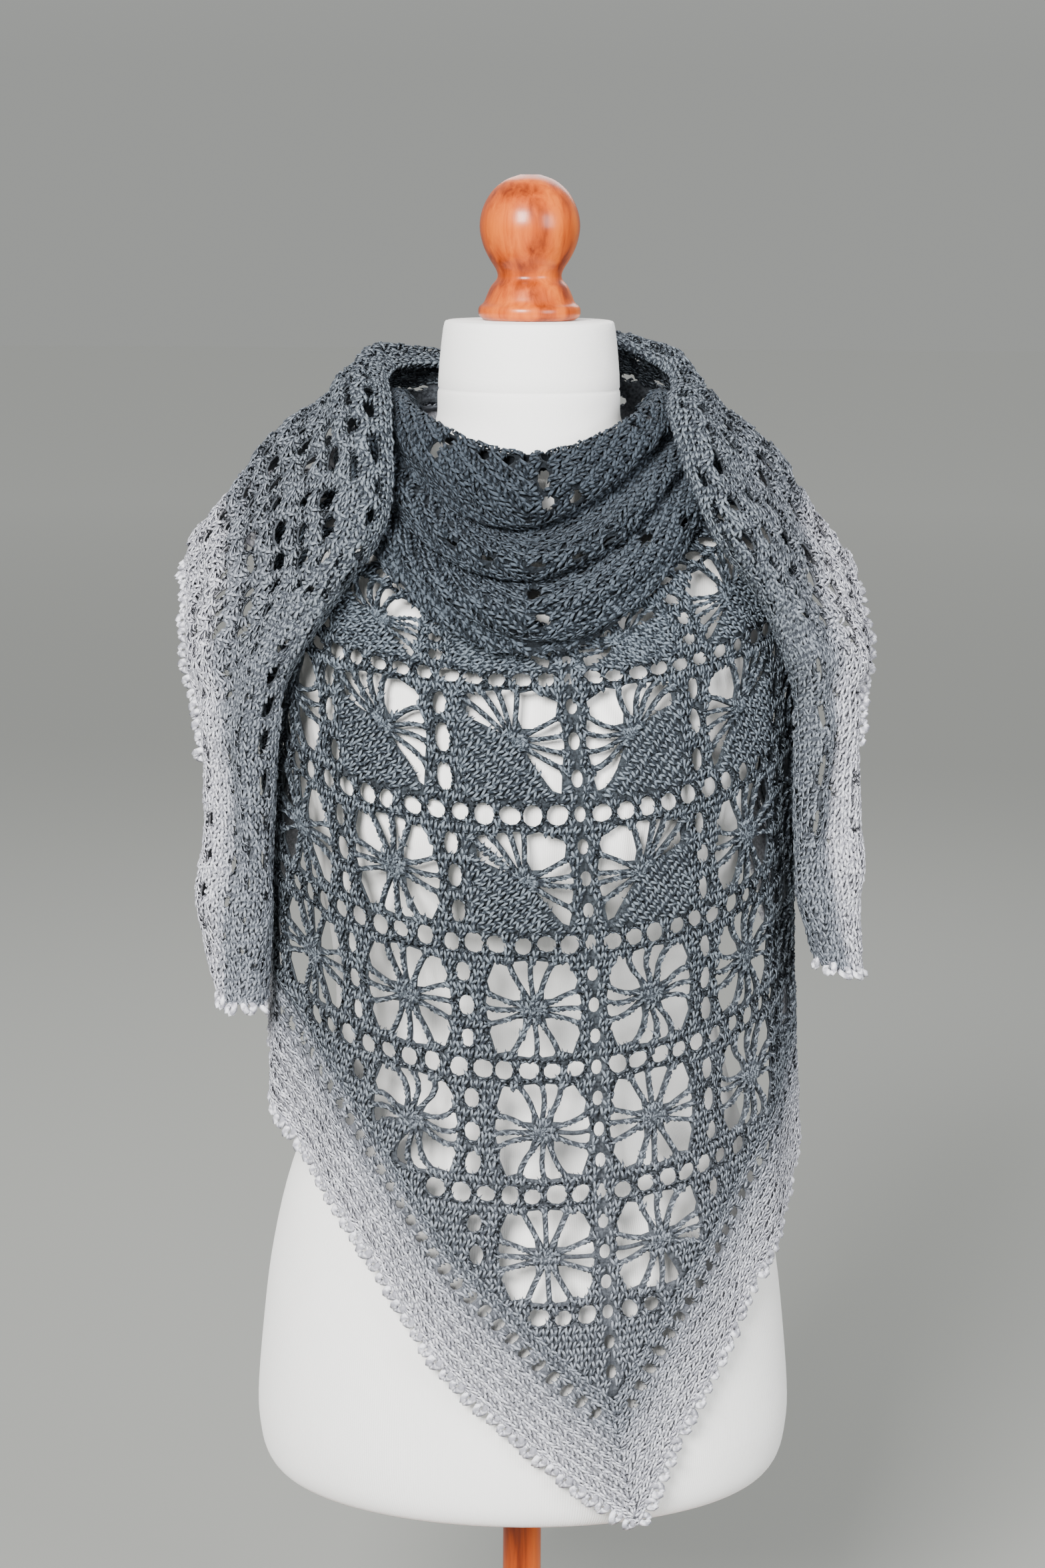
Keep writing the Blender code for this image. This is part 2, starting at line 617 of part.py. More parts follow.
def build_stretch(name, side, begin, end, start_shares, gaps):
    # one stretch of a wrap, between two sections, with its gaps
    def surface(chart):
        return wrap_point(side, chart)

    shares = np.linspace(0, 1, OVER_STEPS + 1)
    rows = int(round((end - begin) * ROWS_PER_SECTION)) + 1
    along = np.linspace(begin, end, rows)
    outline = np.concatenate([
        np.stack([along[:-1], np.zeros(rows - 1)], 1),
        np.stack([np.full(OVER_STEPS, end), shares[:-1]], 1),
        np.stack([along[::-1][:-1], np.ones(rows - 1)], 1),
        np.stack([np.full(len(start_shares) - 1, begin), start_shares[::-1][:-1]], 1),
    ])
    holes = [np.asarray(gap) * FLAT_SCALE for gap in gaps]
    lines = SECTION_WIDTH * shares[1:-1]
    chart, triangles = cut_sheet(outline * FLAT_SCALE, holes, SECTION_LENGTH / ROWS_PER_SECTION, lines)
    walled(name, surface, chart / FLAT_SCALE, triangles, -side, GREY_WOOL)


def build_wrap(side, word):
    lace_rows, border_rows = back_rows(-side)
    down = np.concatenate([lace_rows, border_rows[1:]])
    back_shares = (down - down[0]) / (down[-1] - down[0])
    start = 2 * SECTION_SEAM
    stop = JOIN_SECTION - SECTION_SEAM
    build_stretch("shawl_shoulder_" + word, side, start, stop, back_shares, shoulder_gaps())
    start = JOIN_SECTION + SECTION_SEAM
    stop = len(LEFT_SECTIONS) - 1.0
    even_shares = np.linspace(0, 1, OVER_STEPS + 1)
    build_stretch("shawl_tail_" + word, side, start, stop, even_shares, tail_gaps())


def build_cowl():
    turns = np.linspace(-COWL_REACH, COWL_REACH, COWL_SIDES + 1)
    rows = np.linspace(0, len(COWL_ROWS) - 1, 2 * len(COWL_ROWS) - 1)
    chart, triangles = grid_sheet(turns, rows)
    walled("shawl_cowl", cowl_point, chart, triangles, 1, DARK_WOOL)


start_clean()
build_form()
build_cowl()
for panel_side, panel_word in ((-1, "left"), (1, "right")):
    build_panel(panel_side, panel_word)
    build_wrap(panel_side, panel_word)
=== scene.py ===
# Crochet lace shawl on a limbless dress form: finishes, stitches, picots and the turned stand
import math
import time

import bpy
import numpy as np
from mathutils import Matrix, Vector
from mathutils.geometry import delaunay_2d_cdt


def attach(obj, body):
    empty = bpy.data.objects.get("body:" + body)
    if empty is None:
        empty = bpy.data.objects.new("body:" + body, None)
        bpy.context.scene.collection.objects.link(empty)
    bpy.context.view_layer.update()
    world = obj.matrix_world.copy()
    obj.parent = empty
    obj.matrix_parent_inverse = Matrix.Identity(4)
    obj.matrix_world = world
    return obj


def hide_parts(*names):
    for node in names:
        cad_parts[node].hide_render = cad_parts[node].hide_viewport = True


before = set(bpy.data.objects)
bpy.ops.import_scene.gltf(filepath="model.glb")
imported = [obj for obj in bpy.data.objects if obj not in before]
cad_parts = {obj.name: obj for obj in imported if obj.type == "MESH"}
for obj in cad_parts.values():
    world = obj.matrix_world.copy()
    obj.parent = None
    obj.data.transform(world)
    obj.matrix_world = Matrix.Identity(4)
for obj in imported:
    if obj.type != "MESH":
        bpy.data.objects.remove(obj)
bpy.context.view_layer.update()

started = time.time()


def report(stage):
    print(f"{stage}: {time.time() - started:.1f} s")


# Camera, in metres and degrees; the aim is the photo's own
camera = {
    "place": (-0.0048, -1.95, 1.10),
    "pitch": 11.0,
    "roll": -0.33,
    "lens": 70.0,
    "sensor": 36.0,
}


def makeCamera():
    lens = bpy.data.cameras.new("camera")
    lens.lens = camera["lens"]
    lens.sensor_width = camera["sensor"]
    lens.clip_start = 0.05
    lens.clip_end = 60
    eye = bpy.data.objects.new("camera", lens)
    eye.location = camera["place"]
    eye.rotation_euler = (math.radians(90 - camera["pitch"]), math.radians(camera["roll"]), 0)
    bpy.context.scene.collection.objects.link(eye)
    bpy.context.scene.camera = eye


# Studio: a pale floor with painted shade near the form, three soft lights and an even sky
studio = {
    "floorSize": 40.0,
    "floorShadeColours": ((0.0, (0.25, 0.255, 0.24)), (0.3, (0.32, 0.325, 0.31)), (1.0, (0.51, 0.515, 0.495))),
    "floorShadeFade": 9.0,        # metres from the form over which the painted shade fades and the paper pales
    "skyColours": ((0.0, (0.355, 0.363, 0.35)), (0.52, (0.355, 0.363, 0.35)), (0.72, (0.66, 0.67, 0.66))),
    "skyPower": 1.0,
    # place, size, power, colour
    "lights": (
        ((-0.95, -2.7, 2.15), 1.1, 310.0, (1.0, 0.99, 0.97)),
        ((2.0, -2.1, 1.6), 1.3, 84.0, (0.97, 0.98, 1.0)),
        ((0.3, 2.2, 2.4), 1.8, 36.0, (1.0, 1.0, 1.0)),
    ),
    "lightsAimAt": (0.0, 0.0, 0.75),
}


def makeStudio():
    half = studio["floorSize"] / 2
    sheet = bpy.data.meshes.new("floor")
    corners = [(-half, -half, 0), (half, -half, 0), (half, half, 0), (-half, half, 0)]
    sheet.from_pydata(corners, [], [(0, 1, 2, 3)])
    floor = bpy.data.objects.new("floor", sheet)
    bpy.context.scene.collection.objects.link(floor)
    paper, tree, shader = startMaterial("palePaper")
    where = tree.add("ShaderNodeTexCoord").outputs["Object"]
    # painted shade: the floor is darkest at the form and pales with distance from it
    away = tree.add("ShaderNodeVectorMath", {0: where}, operation="LENGTH").outputs["Value"]
    away = tree.first("ShaderNodeMapRange", {"Value": away, "From Max": studio["floorShadeFade"]})
    tree.link(ramp(tree, away, studio["floorShadeColours"]), shader.inputs["Base Color"])
    shader.inputs["Roughness"].default_value = 0.9
    sheet.materials.append(paper)
    world = bpy.data.worlds.new("studio")
    world.use_nodes = True
    tree = Tree(world.node_tree)
    sky = world.node_tree.nodes["Background"]
    where = tree.add("ShaderNodeTexCoord").outputs["Generated"]
    height = tree.add("ShaderNodeSeparateXYZ", {0: where}).outputs[2]
    height = tree.first("ShaderNodeMapRange", {"Value": height, "From Min": -1.0, "From Max": 1.0})
    tree.link(ramp(tree, height, studio["skyColours"]), sky.inputs["Color"])
    sky.inputs["Strength"].default_value = studio["skyPower"]
    bpy.context.scene.world = world
    for index, (place, size, power, colour) in enumerate(studio["lights"]):
        lamp = bpy.data.lights.new(f"softLight{index}", "AREA")
        lamp.size = size
        lamp.energy = power
        lamp.color = colour
        holder = bpy.data.objects.new(lamp.name, lamp)
        holder.location = place
        aim = Vector(studio["lightsAimAt"]) - Vector(place)
        holder.rotation_euler = aim.to_track_quat("-Z", "Y").to_euler()
        bpy.context.scene.collection.objects.link(holder)


# Small helpers for shader and geometry trees

class Tree:
    def __init__(self, tree):
        self.tree = tree

    def add(self, kind, sockets=None, **settings):
        node = self.tree.nodes.new(kind)
        for name, value in settings.items():
            setattr(node, name, value)
        for name, value in (sockets or {}).items():
            if isinstance(value, bpy.types.NodeSocket):
                self.tree.links.new(value, node.inputs[name])
            else:
                node.inputs[name].default_value = value
        return node

    def first(self, kind, sockets=None, **settings):
        return self.add(kind, sockets, **settings).outputs[0]

    def calc(self, operation, *values):
        return self.first("ShaderNodeMath", dict(enumerate(values)), operation=operation)

    def store(self, geometry, name, value, kind="FLOAT", domain="POINT"):
        given = {"Geometry": geometry, "Name": name, "Value": value}
        return self.first("GeometryNodeStoreNamedAttribute", given, data_type=kind, domain=domain)

    def link(self, source, target):
        self.tree.links.new(source, target)


def startMaterial(name):
    material = bpy.data.materials.new(name)
    material.use_nodes = True
    tree = Tree(material.node_tree)
    shader = material.node_tree.nodes["Principled BSDF"]
    return material, tree, shader


def ramp(tree, factor, stops):
    node = tree.add("ShaderNodeValToRGB", {"Fac": factor})
    band = node.color_ramp
    while len(band.elements) < len(stops):
        band.elements.new(0.5)
    for element, (place, colour) in zip(band.elements, stops):
        element.position = place
        element.color = (*colour, 1) if len(colour) == 3 else colour
    return node.outputs["Color"]


makeCamera()
makeStudio()


# Wool: two plies twisted together, one dark and one light, both paler towards the hem
wool = {
    "lightPly": (
        (0.0, (0.036, 0.046, 0.060)), (0.25, (0.124, 0.152, 0.186)), (0.45, (0.152, 0.178, 0.206)),
        (0.78, (0.32, 0.34, 0.39)), (1.0, (0.70, 0.70, 0.75)),
    ),
    "darkPly": (
        (0.0, (0.004, 0.006, 0.009)), (0.25, (0.010, 0.014, 0.019)), (0.45, (0.017, 0.021, 0.028)),
        (0.78, (0.105, 0.114, 0.134)), (1.0, (0.29, 0.29, 0.33)),
    ),
    "marlSize": 520.0,       # how many flecks of ply lie along a metre
    "marlRange": (0.32, 0.72),
    "grooveDepth": 0.0003,
    "fuzzSize": 2600.0,
    "fuzzDepth": 0.0006,
    "twistLength": 0.0042,   # a full turn of the two plies
    "twistWeight": 0.26,
    "toneWeight": 0.13,      # each stitch is a little darker or paler than the next
    "plyWeight": 0.10,       # and so are its two plies
}


def makeWool(name, paintedShade=(1.0, 1.0), bump=0.35):
    material, tree, shader = startMaterial(name)
    where = tree.add("ShaderNodeTexCoord").outputs["Object"]
    shade, tone, ply = [
        tree.add("ShaderNodeAttribute", attribute_name=label).outputs["Fac"]
        for label in ("shade", "tone", "ply")
    ]
    flecks = tree.first("ShaderNodeTexNoise", {
        "Vector": where, "Scale": wool["marlSize"], "Detail": 2.0, "Roughness": 0.6,
    })
    twist = tree.add("ShaderNodeAttribute", attribute_name="twist").outputs["Vector"]
    twist = tree.add("ShaderNodeSeparateXYZ", {0: twist}).outputs
    around = tree.calc("ARCTAN2", twist[1], twist[0])
    band = tree.calc("SINE", tree.calc("MULTIPLY_ADD", twist[2], 2 * math.pi / wool["twistLength"], around))
    mix = tree.calc("MULTIPLY_ADD", band, wool["twistWeight"], flecks)
    mix = tree.calc("MULTIPLY_ADD", tone, wool["toneWeight"], mix)
    mix = tree.calc("MULTIPLY_ADD", ply, wool["plyWeight"], mix)
    least, most = wool["marlRange"]
    share = tree.first("ShaderNodeMapRange", {"Value": mix, "From Min": least, "From Max": most})
    # painted shade: the neck and hem factors darken the dye colours for the sheet seen between the stitches
    neck, hem = paintedShade

    def dyedAndShaded(key):
        stops = [(at, tuple(c * (neck + (hem - neck) * at) for c in colour)) for at, colour in wool[key]]
        return ramp(tree, shade, stops)

    light, dark = dyedAndShaded("lightPly"), dyedAndShaded("darkPly")
    blend = tree.add("ShaderNodeMix", {0: share, 6: dark, 7: light}, data_type="RGBA")
    tree.link(blend.outputs[2], shader.inputs["Base Color"])
    fuzz = tree.first("ShaderNodeTexNoise", {
        "Vector": where, "Scale": wool["fuzzSize"], "Detail": 3.0, "Roughness": 0.7,
    })
    grooves = tree.first("ShaderNodeBump", {
        "Height": tree.calc("ABSOLUTE", band), "Strength": 0.6, "Distance": wool["grooveDepth"],
    })
    relief = tree.first("ShaderNodeBump", {
        "Height": fuzz, "Strength": bump, "Distance": wool["fuzzDepth"], "Normal": grooves,
    })
    tree.link(relief, shader.inputs["Normal"])
    shader.inputs["Roughness"].default_value = 0.92
    shader.inputs["Sheen Weight"].default_value = 0.07
    shader.inputs["Sheen Roughness"].default_value = 0.5
    shader.inputs["Sheen Tint"].default_value = (0.72, 0.80, 0.92, 1)
    shader.inputs["Specular IOR Level"].default_value = 0.12
    return material


woolStitch = makeWool("marledWoolStitches")
# the sheet under the stitches is painted dark, from a quarter of the wool's colour at the neck to about half
# at the hem, as painted shade between the stitches
woolClothPaintedShade = makeWool("marledWoolCloth", paintedShade=(0.25, 0.55), bump=0.6)
report("materials")


# Cloth surfaces, the same as the solids' own, in metres

formLift = 0.250
cloth = {
    "firstTier": 0.2585,
    "tierHeight": 0.0815,
    "cellWidth": 0.0712,
    "borderDrop": 0.085,
    "hoopRadius": 0.152,
    "backEnd": math.radians(148),
    "shift": (0.003, 0.30, 0.50),      # how far, from and to which distance down it grows
    "shoulderLine": 0.185,
    "foldGrowth": 0.2,
    "runOn": 0.05,
    "backReach": 0.38,                 # first guess at how far round the hem runs
    "rollPlace": 0.17,
    "rollWidth": 0.12,
    "rippleCount": 3.0,
    "rippleDepth": 0.0022,
    "tipSwing": (0.012, 0.70, 0.812),  # how far the tip swings aside, from and to which distance down
    "gatherFrom": 0.4,                 # section where the gathers of a wrap begin
    "gatherEdge": 1.6,                 # how steeply they rise from its two edges
    "gatherHeart": (0, 0, 0.80),       # the place that they stand away from
}

# distance down the cloth; front, side and back height; half width; front and back depth; turn of the middle
shellRows = np.array((
    (0.1500, 0.592, 0.681, 0.670, 0.106, 0.116, 0.100, 0.110),
    (0.1850, 0.588, 0.662, 0.664, 0.148, 0.118, 0.106, 0.120),
    (0.2200, 0.578, 0.638, 0.656, 0.170, 0.120, 0.112, 0.130),
    (0.2585, 0.5595, 0.606, 0.645, 0.1735, 0.1235, 0.116, 0.145),
    (0.3400, 0.478, 0.528, 0.624, 0.1730, 0.1385, 0.119, 0.185),
    (0.4215, 0.3974, 0.447, 0.596, 0.1705, 0.1390, 0.118, 0.225),
    (0.5030, 0.3165, 0.369, 0.556, 0.1690, 0.1355, 0.116, 0.247),
    (0.5845, 0.235, 0.287, 0.480, 0.1720, 0.1325, 0.117, 0.268),
    (0.6660, 0.154, 0.206, 0.400, 0.1770, 0.1305, 0.119, 0.288),
    (0.7475, 0.073, 0.125, 0.300, 0.1825, 0.1300, 0.120, 0.308),
    (0.8200, 0.001, 0.055, 0.200, 0.1860, 0.1300, 0.120, 0.322),
))

# hem: distance from the middle line, distance down the cloth
hemRows = {
    -1: np.array((
        (0.000, 0.812), (0.030, 0.776), (0.060, 0.738), (0.088, 0.705), (0.120, 0.660),
        (0.145, 0.629), (0.197, 0.589), (0.243, 0.568), (0.300, 0.540), (0.420, 0.490), (0.500, 0.470),
    )),
    1: np.array((
        (0.000, 0.812), (0.040, 0.748), (0.080, 0.702), (0.106, 0.675), (0.155, 0.650),
        (0.204, 0.618), (0.243, 0.583), (0.300, 0.533), (0.420, 0.470), (0.500, 0.450),
    )),
}

# soft upright folds: place across, half width, depth, distance down the cloth where they begin
hangingFolds = (
    (-0.215, 0.017, 0.009, 0.36),
    (-0.160, 0.018, 0.004, 0.46),
    (-0.095, 0.022, 0.004, 0.50),
    (0.055, 0.020, 0.003, 0.50),
    (0.120, 0.018, 0.004, 0.44),
    (0.185, 0.016, 0.004, 0.34),
)

# cowl rows from the neck edge down: front height, side height, front radius, side radius
cowlRows = np.array((
    (0.682, 0.714, 0.070, 0.072),
    (0.692, 0.724, 0.079, 0.084),
    (0.668, 0.718, 0.099, 0.097),
    (0.644, 0.706, 0.095, 0.094),
    (0.632, 0.706, 0.119, 0.108),
    (0.616, 0.695, 0.118, 0.106),
    (0.600, 0.691, 0.138, 0.118),
    (0.577, 0.682, 0.135, 0.122),
    (0.583, 0.686, 0.1215, 0.114),
))
cowlReach = math.radians(104)

# creases between the folds, steep under a fold and easy below it:
# row, slant across the front, half width in rows, depth
cowlCreases = (
    (2.85, -0.7, 0.45, 0.0105),
    (3.75, 0.4, 0.26, 0.0034),
    (4.85, -0.6, 0.45, 0.0110),
    (6.60, 0.7, 0.40, 0.0080),
    (5.80, 0.9, 0.22, 0.0034),
)
creaseSteepness = 0.30

# inner edge x y z, outer edge x y z, bulge, roll along the inner edge, direction of the bulge, inward turn
wrapSections = {
    -1: np.array((
        (0.045, 0.078, 0.682, 0.062, 0.110, 0.552, 0.003, 0.000, 0.0, 1.0, 0.0, 0.0),
        (0.000, 0.074, 0.733, 0.000, 0.109, 0.618, 0.003, 0.000, 0.0, 1.0, 0.2, 0.0),
        (-0.040, 0.062, 0.739, -0.047, 0.081, 0.690, 0.003, 0.003, -0.2, 1.0, 0.5, 0.0),
        (-0.078, 0.034, 0.739, -0.114, 0.102, 0.657, 0.012, 0.009, -0.5, 0.5, 0.7, 0.0),
        (-0.090, 0.000, 0.733, -0.211, 0.035, 0.612, 0.016, 0.008, -0.6, 0.1, 0.8, 0.0),
        (-0.086, -0.054, 0.716, -0.2125, 0.000, 0.592, 0.016, 0.008, -0.6, -0.5, 0.6, 0.0),
        (-0.087, -0.106, 0.654, -0.2135, -0.020, 0.580, 0.018, 0.006, -0.3, -1.0, 0.25, 0.1),
        (-0.119, -0.106, 0.603, -0.2115, -0.032, 0.548, 0.018, 0.002, -0.2, -1.0, 0.0, 0.4),
        (-0.151, -0.092, 0.545, -0.199, -0.052, 0.520, 0.016, 0.000, -0.1, -1.0, 0.0, 0.9),
        (-0.157, -0.084, 0.475, -0.197, -0.056, 0.460, 0.015, 0.000, 0.0, -1.0, 0.0, 1.2),
        (-0.160, -0.081, 0.405, -0.202, -0.054, 0.400, 0.015, 0.000, 0.0, -1.0, 0.0, 1.2),
        (-0.166, -0.078, 0.345, -0.192, -0.060, 0.350, 0.010, 0.000, 0.0, -1.0, 0.0, 0.6),
    )),
    1: np.array((
        (-0.045, 0.094, 0.688, -0.062, 0.119, 0.552, 0.003, 0.000, 0.0, 1.0, 0.0, 0.0),
        (0.000, 0.088, 0.740, 0.000, 0.122, 0.608, 0.004, 0.000, 0.0, 1.0, 0.2, 0.0),
        (0.045, 0.072, 0.754, 0.056, 0.113, 0.668, 0.007, 0.004, 0.2, 1.0, 0.5, 0.0),
        (0.078, 0.040, 0.744, 0.116, 0.110, 0.650, 0.010, 0.004, 0.5, 0.5, 0.7, 0.0),
        (0.092, 0.006, 0.732, 0.203, 0.036, 0.604, 0.011, 0.002, 0.6, 0.1, 0.8, 0.0),
        (0.088, -0.052, 0.712, 0.206, 0.000, 0.590, 0.012, 0.004, 0.6, -0.5, 0.6, 0.0),
        (0.112, -0.100, 0.650, 0.211, -0.020, 0.573, 0.015, 0.004, 0.3, -1.0, 0.25, 0.1),
        (0.146, -0.092, 0.600, 0.2115, -0.036, 0.550, 0.015, 0.000, 0.2, -1.0, 0.0, 0.5),
        (0.167, -0.078, 0.538, 0.202, -0.052, 0.530, 0.013, 0.000, 0.1, -1.0, 0.0, 1.0),
        (0.167, -0.074, 0.475, 0.205, -0.051, 0.470, 0.013, 0.000, 0.0, -1.0, 0.0, 1.2),
        (0.170, -0.072, 0.420, 0.208, -0.050, 0.420, 0.012, 0.000, 0.0, -1.0, 0.0, 1.2),
        (0.184, -0.068, 0.374, 0.211, -0.054, 0.366, 0.009, 0.000, 0.0, -1.0, 0.0, 0.6),
    )),
}
joinSection = 7.0
lastSection = 11.0


def smoothRows(keys, rows, at):
    keys = np.asarray(keys, float)
    rows = np.asarray(rows, float)
    at = np.clip(np.asarray(at, float), keys[0], keys[-1])
    slopes = np.gradient(rows, keys, axis=0)
    row = np.clip(np.searchsorted(keys, at, side="right") - 1, 0, len(keys) - 2)
    span = (keys[row + 1] - keys[row])[:, None]
    u = (at - keys[row])[:, None] / span
    start = (1 + 2 * u) * (1 - u) ** 2 * rows[row]
    leave = u * (1 - u) ** 2 * span * slopes[row]
    arrive = u * u * (u - 1) * span * slopes[row + 1]
    return start + leave + u * u * (3 - 2 * u) * rows[row + 1] + arrive


def shellPoint(chart):
    across, down = chart.T
    row = smoothRows(shellRows[:, 0], shellRows[:, 1:], down)
    front, side, back, halfWidth, frontDepth, backDepth, middle = row.T
    angle = middle + across / cloth["hoopRadius"]
    cos = np.cos(angle)
    sin = np.sin(angle)
    upper = np.clip((cloth["firstTier"] - down) / (cloth["firstTier"] - cloth["shoulderLine"]), 0, 1)
    lift = (1 - cos) * (1 - upper) + sin ** 2 * upper
    z = np.where(cos > 0, front + (side - front) * lift, side - (back - side) * cos)
    depth = np.where(cos > 0, frontDepth, backDepth)
    fold = np.zeros(len(chart))
    for place, width, height, start in hangingFolds:
        grown = np.clip((down - start) / cloth["foldGrowth"], 0, 1)
        fold += height * grown * np.exp(-((across - place) / width) ** 2)
    reach, shiftFrom, shiftTo = cloth["shift"]
    shift = reach * np.clip((down - shiftFrom) / (shiftTo - shiftFrom), 0, 1)
    reach, shiftFrom, shiftTo = cloth["tipSwing"]
    shift += reach * np.clip((down - shiftFrom) / (shiftTo - shiftFrom), 0, 1) ** 2
    return np.stack([(halfWidth + fold) * sin + shift, -(depth + fold) * cos, z + formLift], 1)


def cowlPoint(chart):
    angle = chart[:, 0]
    row = smoothRows(range(len(cowlRows)), cowlRows, chart[:, 1])
    front, side, frontRadius, sideRadius = row.T
    share = np.where(np.abs(angle) < math.pi / 2, np.sin(angle) ** 2, 1.0)
    radius = frontRadius + (sideRadius - frontRadius) * share
    z = front + (side - front) * share
    for place, slant, width, depth in cowlCreases:
        away = (chart[:, 1] - place - slant * np.sin(angle)) / width
        away = np.where(away < 0, away / creaseSteepness, away)
        radius -= depth * np.exp(-away ** 2) * np.cos(angle / 2)
    return np.stack([radius * np.sin(angle), -radius * np.cos(angle), z + formLift], 1)


def sectionPoint(sections, chart):
    row = smoothRows(range(len(sections)), sections, chart[:, 0])
    inner, outer, push = row[:, 0:3], row[:, 3:6], row[:, 8:11]
    bulge, roll, turn = row[:, 6], row[:, 7], row[:, 11]
    half = (inner - outer) / 2
    along = half / np.linalg.norm(half, axis=1, keepdims=True)
    push = push - along * (push * along).sum(1, keepdims=True)
    push = push / np.linalg.norm(push, axis=1, keepdims=True)
    share = chart[:, 1]
    swing = -turn + (math.pi + turn) * share
    waves = 2 * math.pi * cloth["rippleCount"] * share
    ripple = cloth["rippleDepth"] * np.sin(waves) * np.sin(math.pi * share)
    rolled = roll * np.exp(-((share - cloth["rollPlace"]) / cloth["rollWidth"]) ** 2)
    rise = bulge * np.sin(swing) + rolled + ripple
    point = (inner + outer) / 2 + half * np.cos(swing)[:, None] + push * rise[:, None]
    return point + np.array([0, 0, formLift])


def hemDown(side, across):
    table = hemRows[side]
    return smoothRows(table[:, 0], table[:, 1:], np.atleast_1d(across))[:, 0]


def backAcross(side, down):
    middle = smoothRows(shellRows[:, 0], shellRows[:, 7:8], np.atleast_1d(down))[:, 0]
    return cloth["hoopRadius"] * (side * cloth["backEnd"] - middle)


def endAcross(side):
    across = cloth["backReach"]
    for _ in range(12):
        across = abs(backAcross(side, hemDown(side, across)))[0]
    return across


def runOn(side, chart):
    lowest = hemDown(side, endAcross(side))
    top = shellRows[0, 0]
    down = top + (lowest - top) * chart[:, 1]
    across = backAcross(side, down) + side * cloth["runOn"] * chart[:, 0]
    return shellPoint(np.stack([across, down], 1))


# gathers that stand out of the wraps: half waves for a section, for the way over, start of the wave, height
gathers = (
    (0.55, 4.0, 0.4, 0.0016),
    (-0.35, 6.5, 1.9, 0.0013),
    (1.30, 2.5, 0.0, 0.0012),
    (2.20, 3.0, 2.6, 0.0008),
)


def wrapPoint(side, chart):
    near = np.clip(chart[:, 0], 0, 1)
    near = (near * near * (3 - 2 * near))[:, None]
    place = near * sectionPoint(wrapSections[side], chart) + (1 - near) * runOn(-side, chart)
    stand = np.zeros(len(chart))
    for along, over, start, height in gathers:
        wave = 2 * math.pi * along * chart[:, 0] / 2 + math.pi * over * chart[:, 1] + start
        stand += height * (1 + np.sin(wave))
    edge = np.clip(np.sin(math.pi * chart[:, 1]) * cloth["gatherEdge"], 0, 1)
    stand *= np.clip(chart[:, 0] - cloth["gatherFrom"], 0, 1) * edge
    away = place - cloth["gatherHeart"]
    away /= np.linalg.norm(away, axis=1, keepdims=True)
    return place + away * stand[:, None]


def runAlong(places):
    return np.concatenate([[0], np.cumsum(np.linalg.norm(np.diff(places, axis=0), axis=1))])


def frameOf(surface, out, chart):
    # place on the surface, outward normal, and the two directions of the chart
    tiny = 1e-5
    first = surface(chart + (tiny, 0)) - surface(chart - (tiny, 0))
    second = surface(chart + (0, tiny)) - surface(chart - (0, tiny))
    normal = np.cross(first, second) * out
    normal /= np.linalg.norm(normal, axis=1, keepdims=True)
    return surface(chart), normal, first / (2 * tiny), second / (2 * tiny)


# Sheets cut in the flat

class Gaps:
    # closed outlines in the flat, with quick tests of what lies inside them
    def __init__(self, loops):
        self.loops = [np.asarray(loop, float) for loop in loops]
        self.starts = np.concatenate(self.loops)
        self.ends = np.concatenate([np.roll(loop, -1, axis=0) for loop in self.loops])

    def inside(self, points):
        inside = np.zeros(len(points), bool)
        for (x0, y0), (x1, y1) in zip(self.starts, self.ends):
            if y0 == y1:
                continue
            crosses = (points[:, 1] < y0) != (points[:, 1] < y1)
            inside ^= crosses & (points[:, 0] < x0 + (points[:, 1] - y0) * (x1 - x0) / (y1 - y0))
        return inside

    def clear(self, points, distance):
        clear = np.ones(len(points), bool)
        for start, end in zip(self.starts, self.ends):
            near = np.flatnonzero(
                (np.abs(points - (start + end) / 2) < distance + np.abs(end - start).max()).all(1) & clear
            )
            if not len(near):
                continue
            way = end - start
            some = points[near]
            share = np.clip(((some - start) @ way) / (way @ way), 0, 1)
            clear[near[np.linalg.norm(some - start - share[:, None] * way, axis=1) < distance]] = False
        return clear


gridShape = {"rowStep": 0.87, "room": 0.45}     # between rows, and from every edge, as shares of the step


def cutSheet(outline, holes, step):
    # triangles over an outline with holes in the flat; step is the size of the inner grid
    everything = Gaps([outline] + holes)
    edges = []
    first = 0
    for loop in everything.loops:
        edges += [(first + i, first + (i + 1) % len(loop)) for i in range(len(loop))]
        first += len(loop)
    low = everything.loops[0].min(0)
    high = everything.loops[0].max(0)
    rowStep = step * gridShape["rowStep"]
    rows = int((high[1] - low[1]) / rowStep)
    columns = int((high[0] - low[0]) / step) + 1
    grid = np.array([
        (low[0] + step * (i + 0.5 * (row % 2)), low[1] + rowStep * row)
        for row in range(1, rows + 1) for i in range(columns)
    ])
    grid = grid[everything.inside(grid)]
    grid = grid[everything.clear(grid, gridShape["room"] * step)]
    corners = [Vector(p) for p in np.concatenate([everything.starts, grid])]
    found = delaunay_2d_cdt(corners, edges, [], 0, 1e-8)
    flat = np.array([(v.x, v.y) for v in found[0]])
    faces = np.array(found[2])
    faces = faces[everything.inside(flat[faces].mean(1))]
    used = np.unique(faces)
    order = np.full(len(flat), -1)
    order[used] = np.arange(len(used))
    return flat[used], order[faces]


def meshObject(name, points, faces, material, shade=None, edges=()):
    mesh = bpy.data.meshes.new(name)
    mesh.from_pydata(np.asarray(points).tolist(), list(edges), [tuple(int(i) for i in f) for f in faces])
    if shade is not None:
        attribute = mesh.attributes.new("shade", "FLOAT", "POINT")
        attribute.data.foreach_set("value", np.asarray(shade, np.float32))
    if material:
        mesh.materials.append(material)
    if len(faces):
        mesh.shade_smooth()
    thing = bpy.data.objects.new(name, mesh)
    bpy.context.scene.collection.objects.link(thing)
    return thing


# the cloth under the stitches, measured from the solid's outer face
sheetWall = {"inside": -0.0018, "outside": -0.0006}


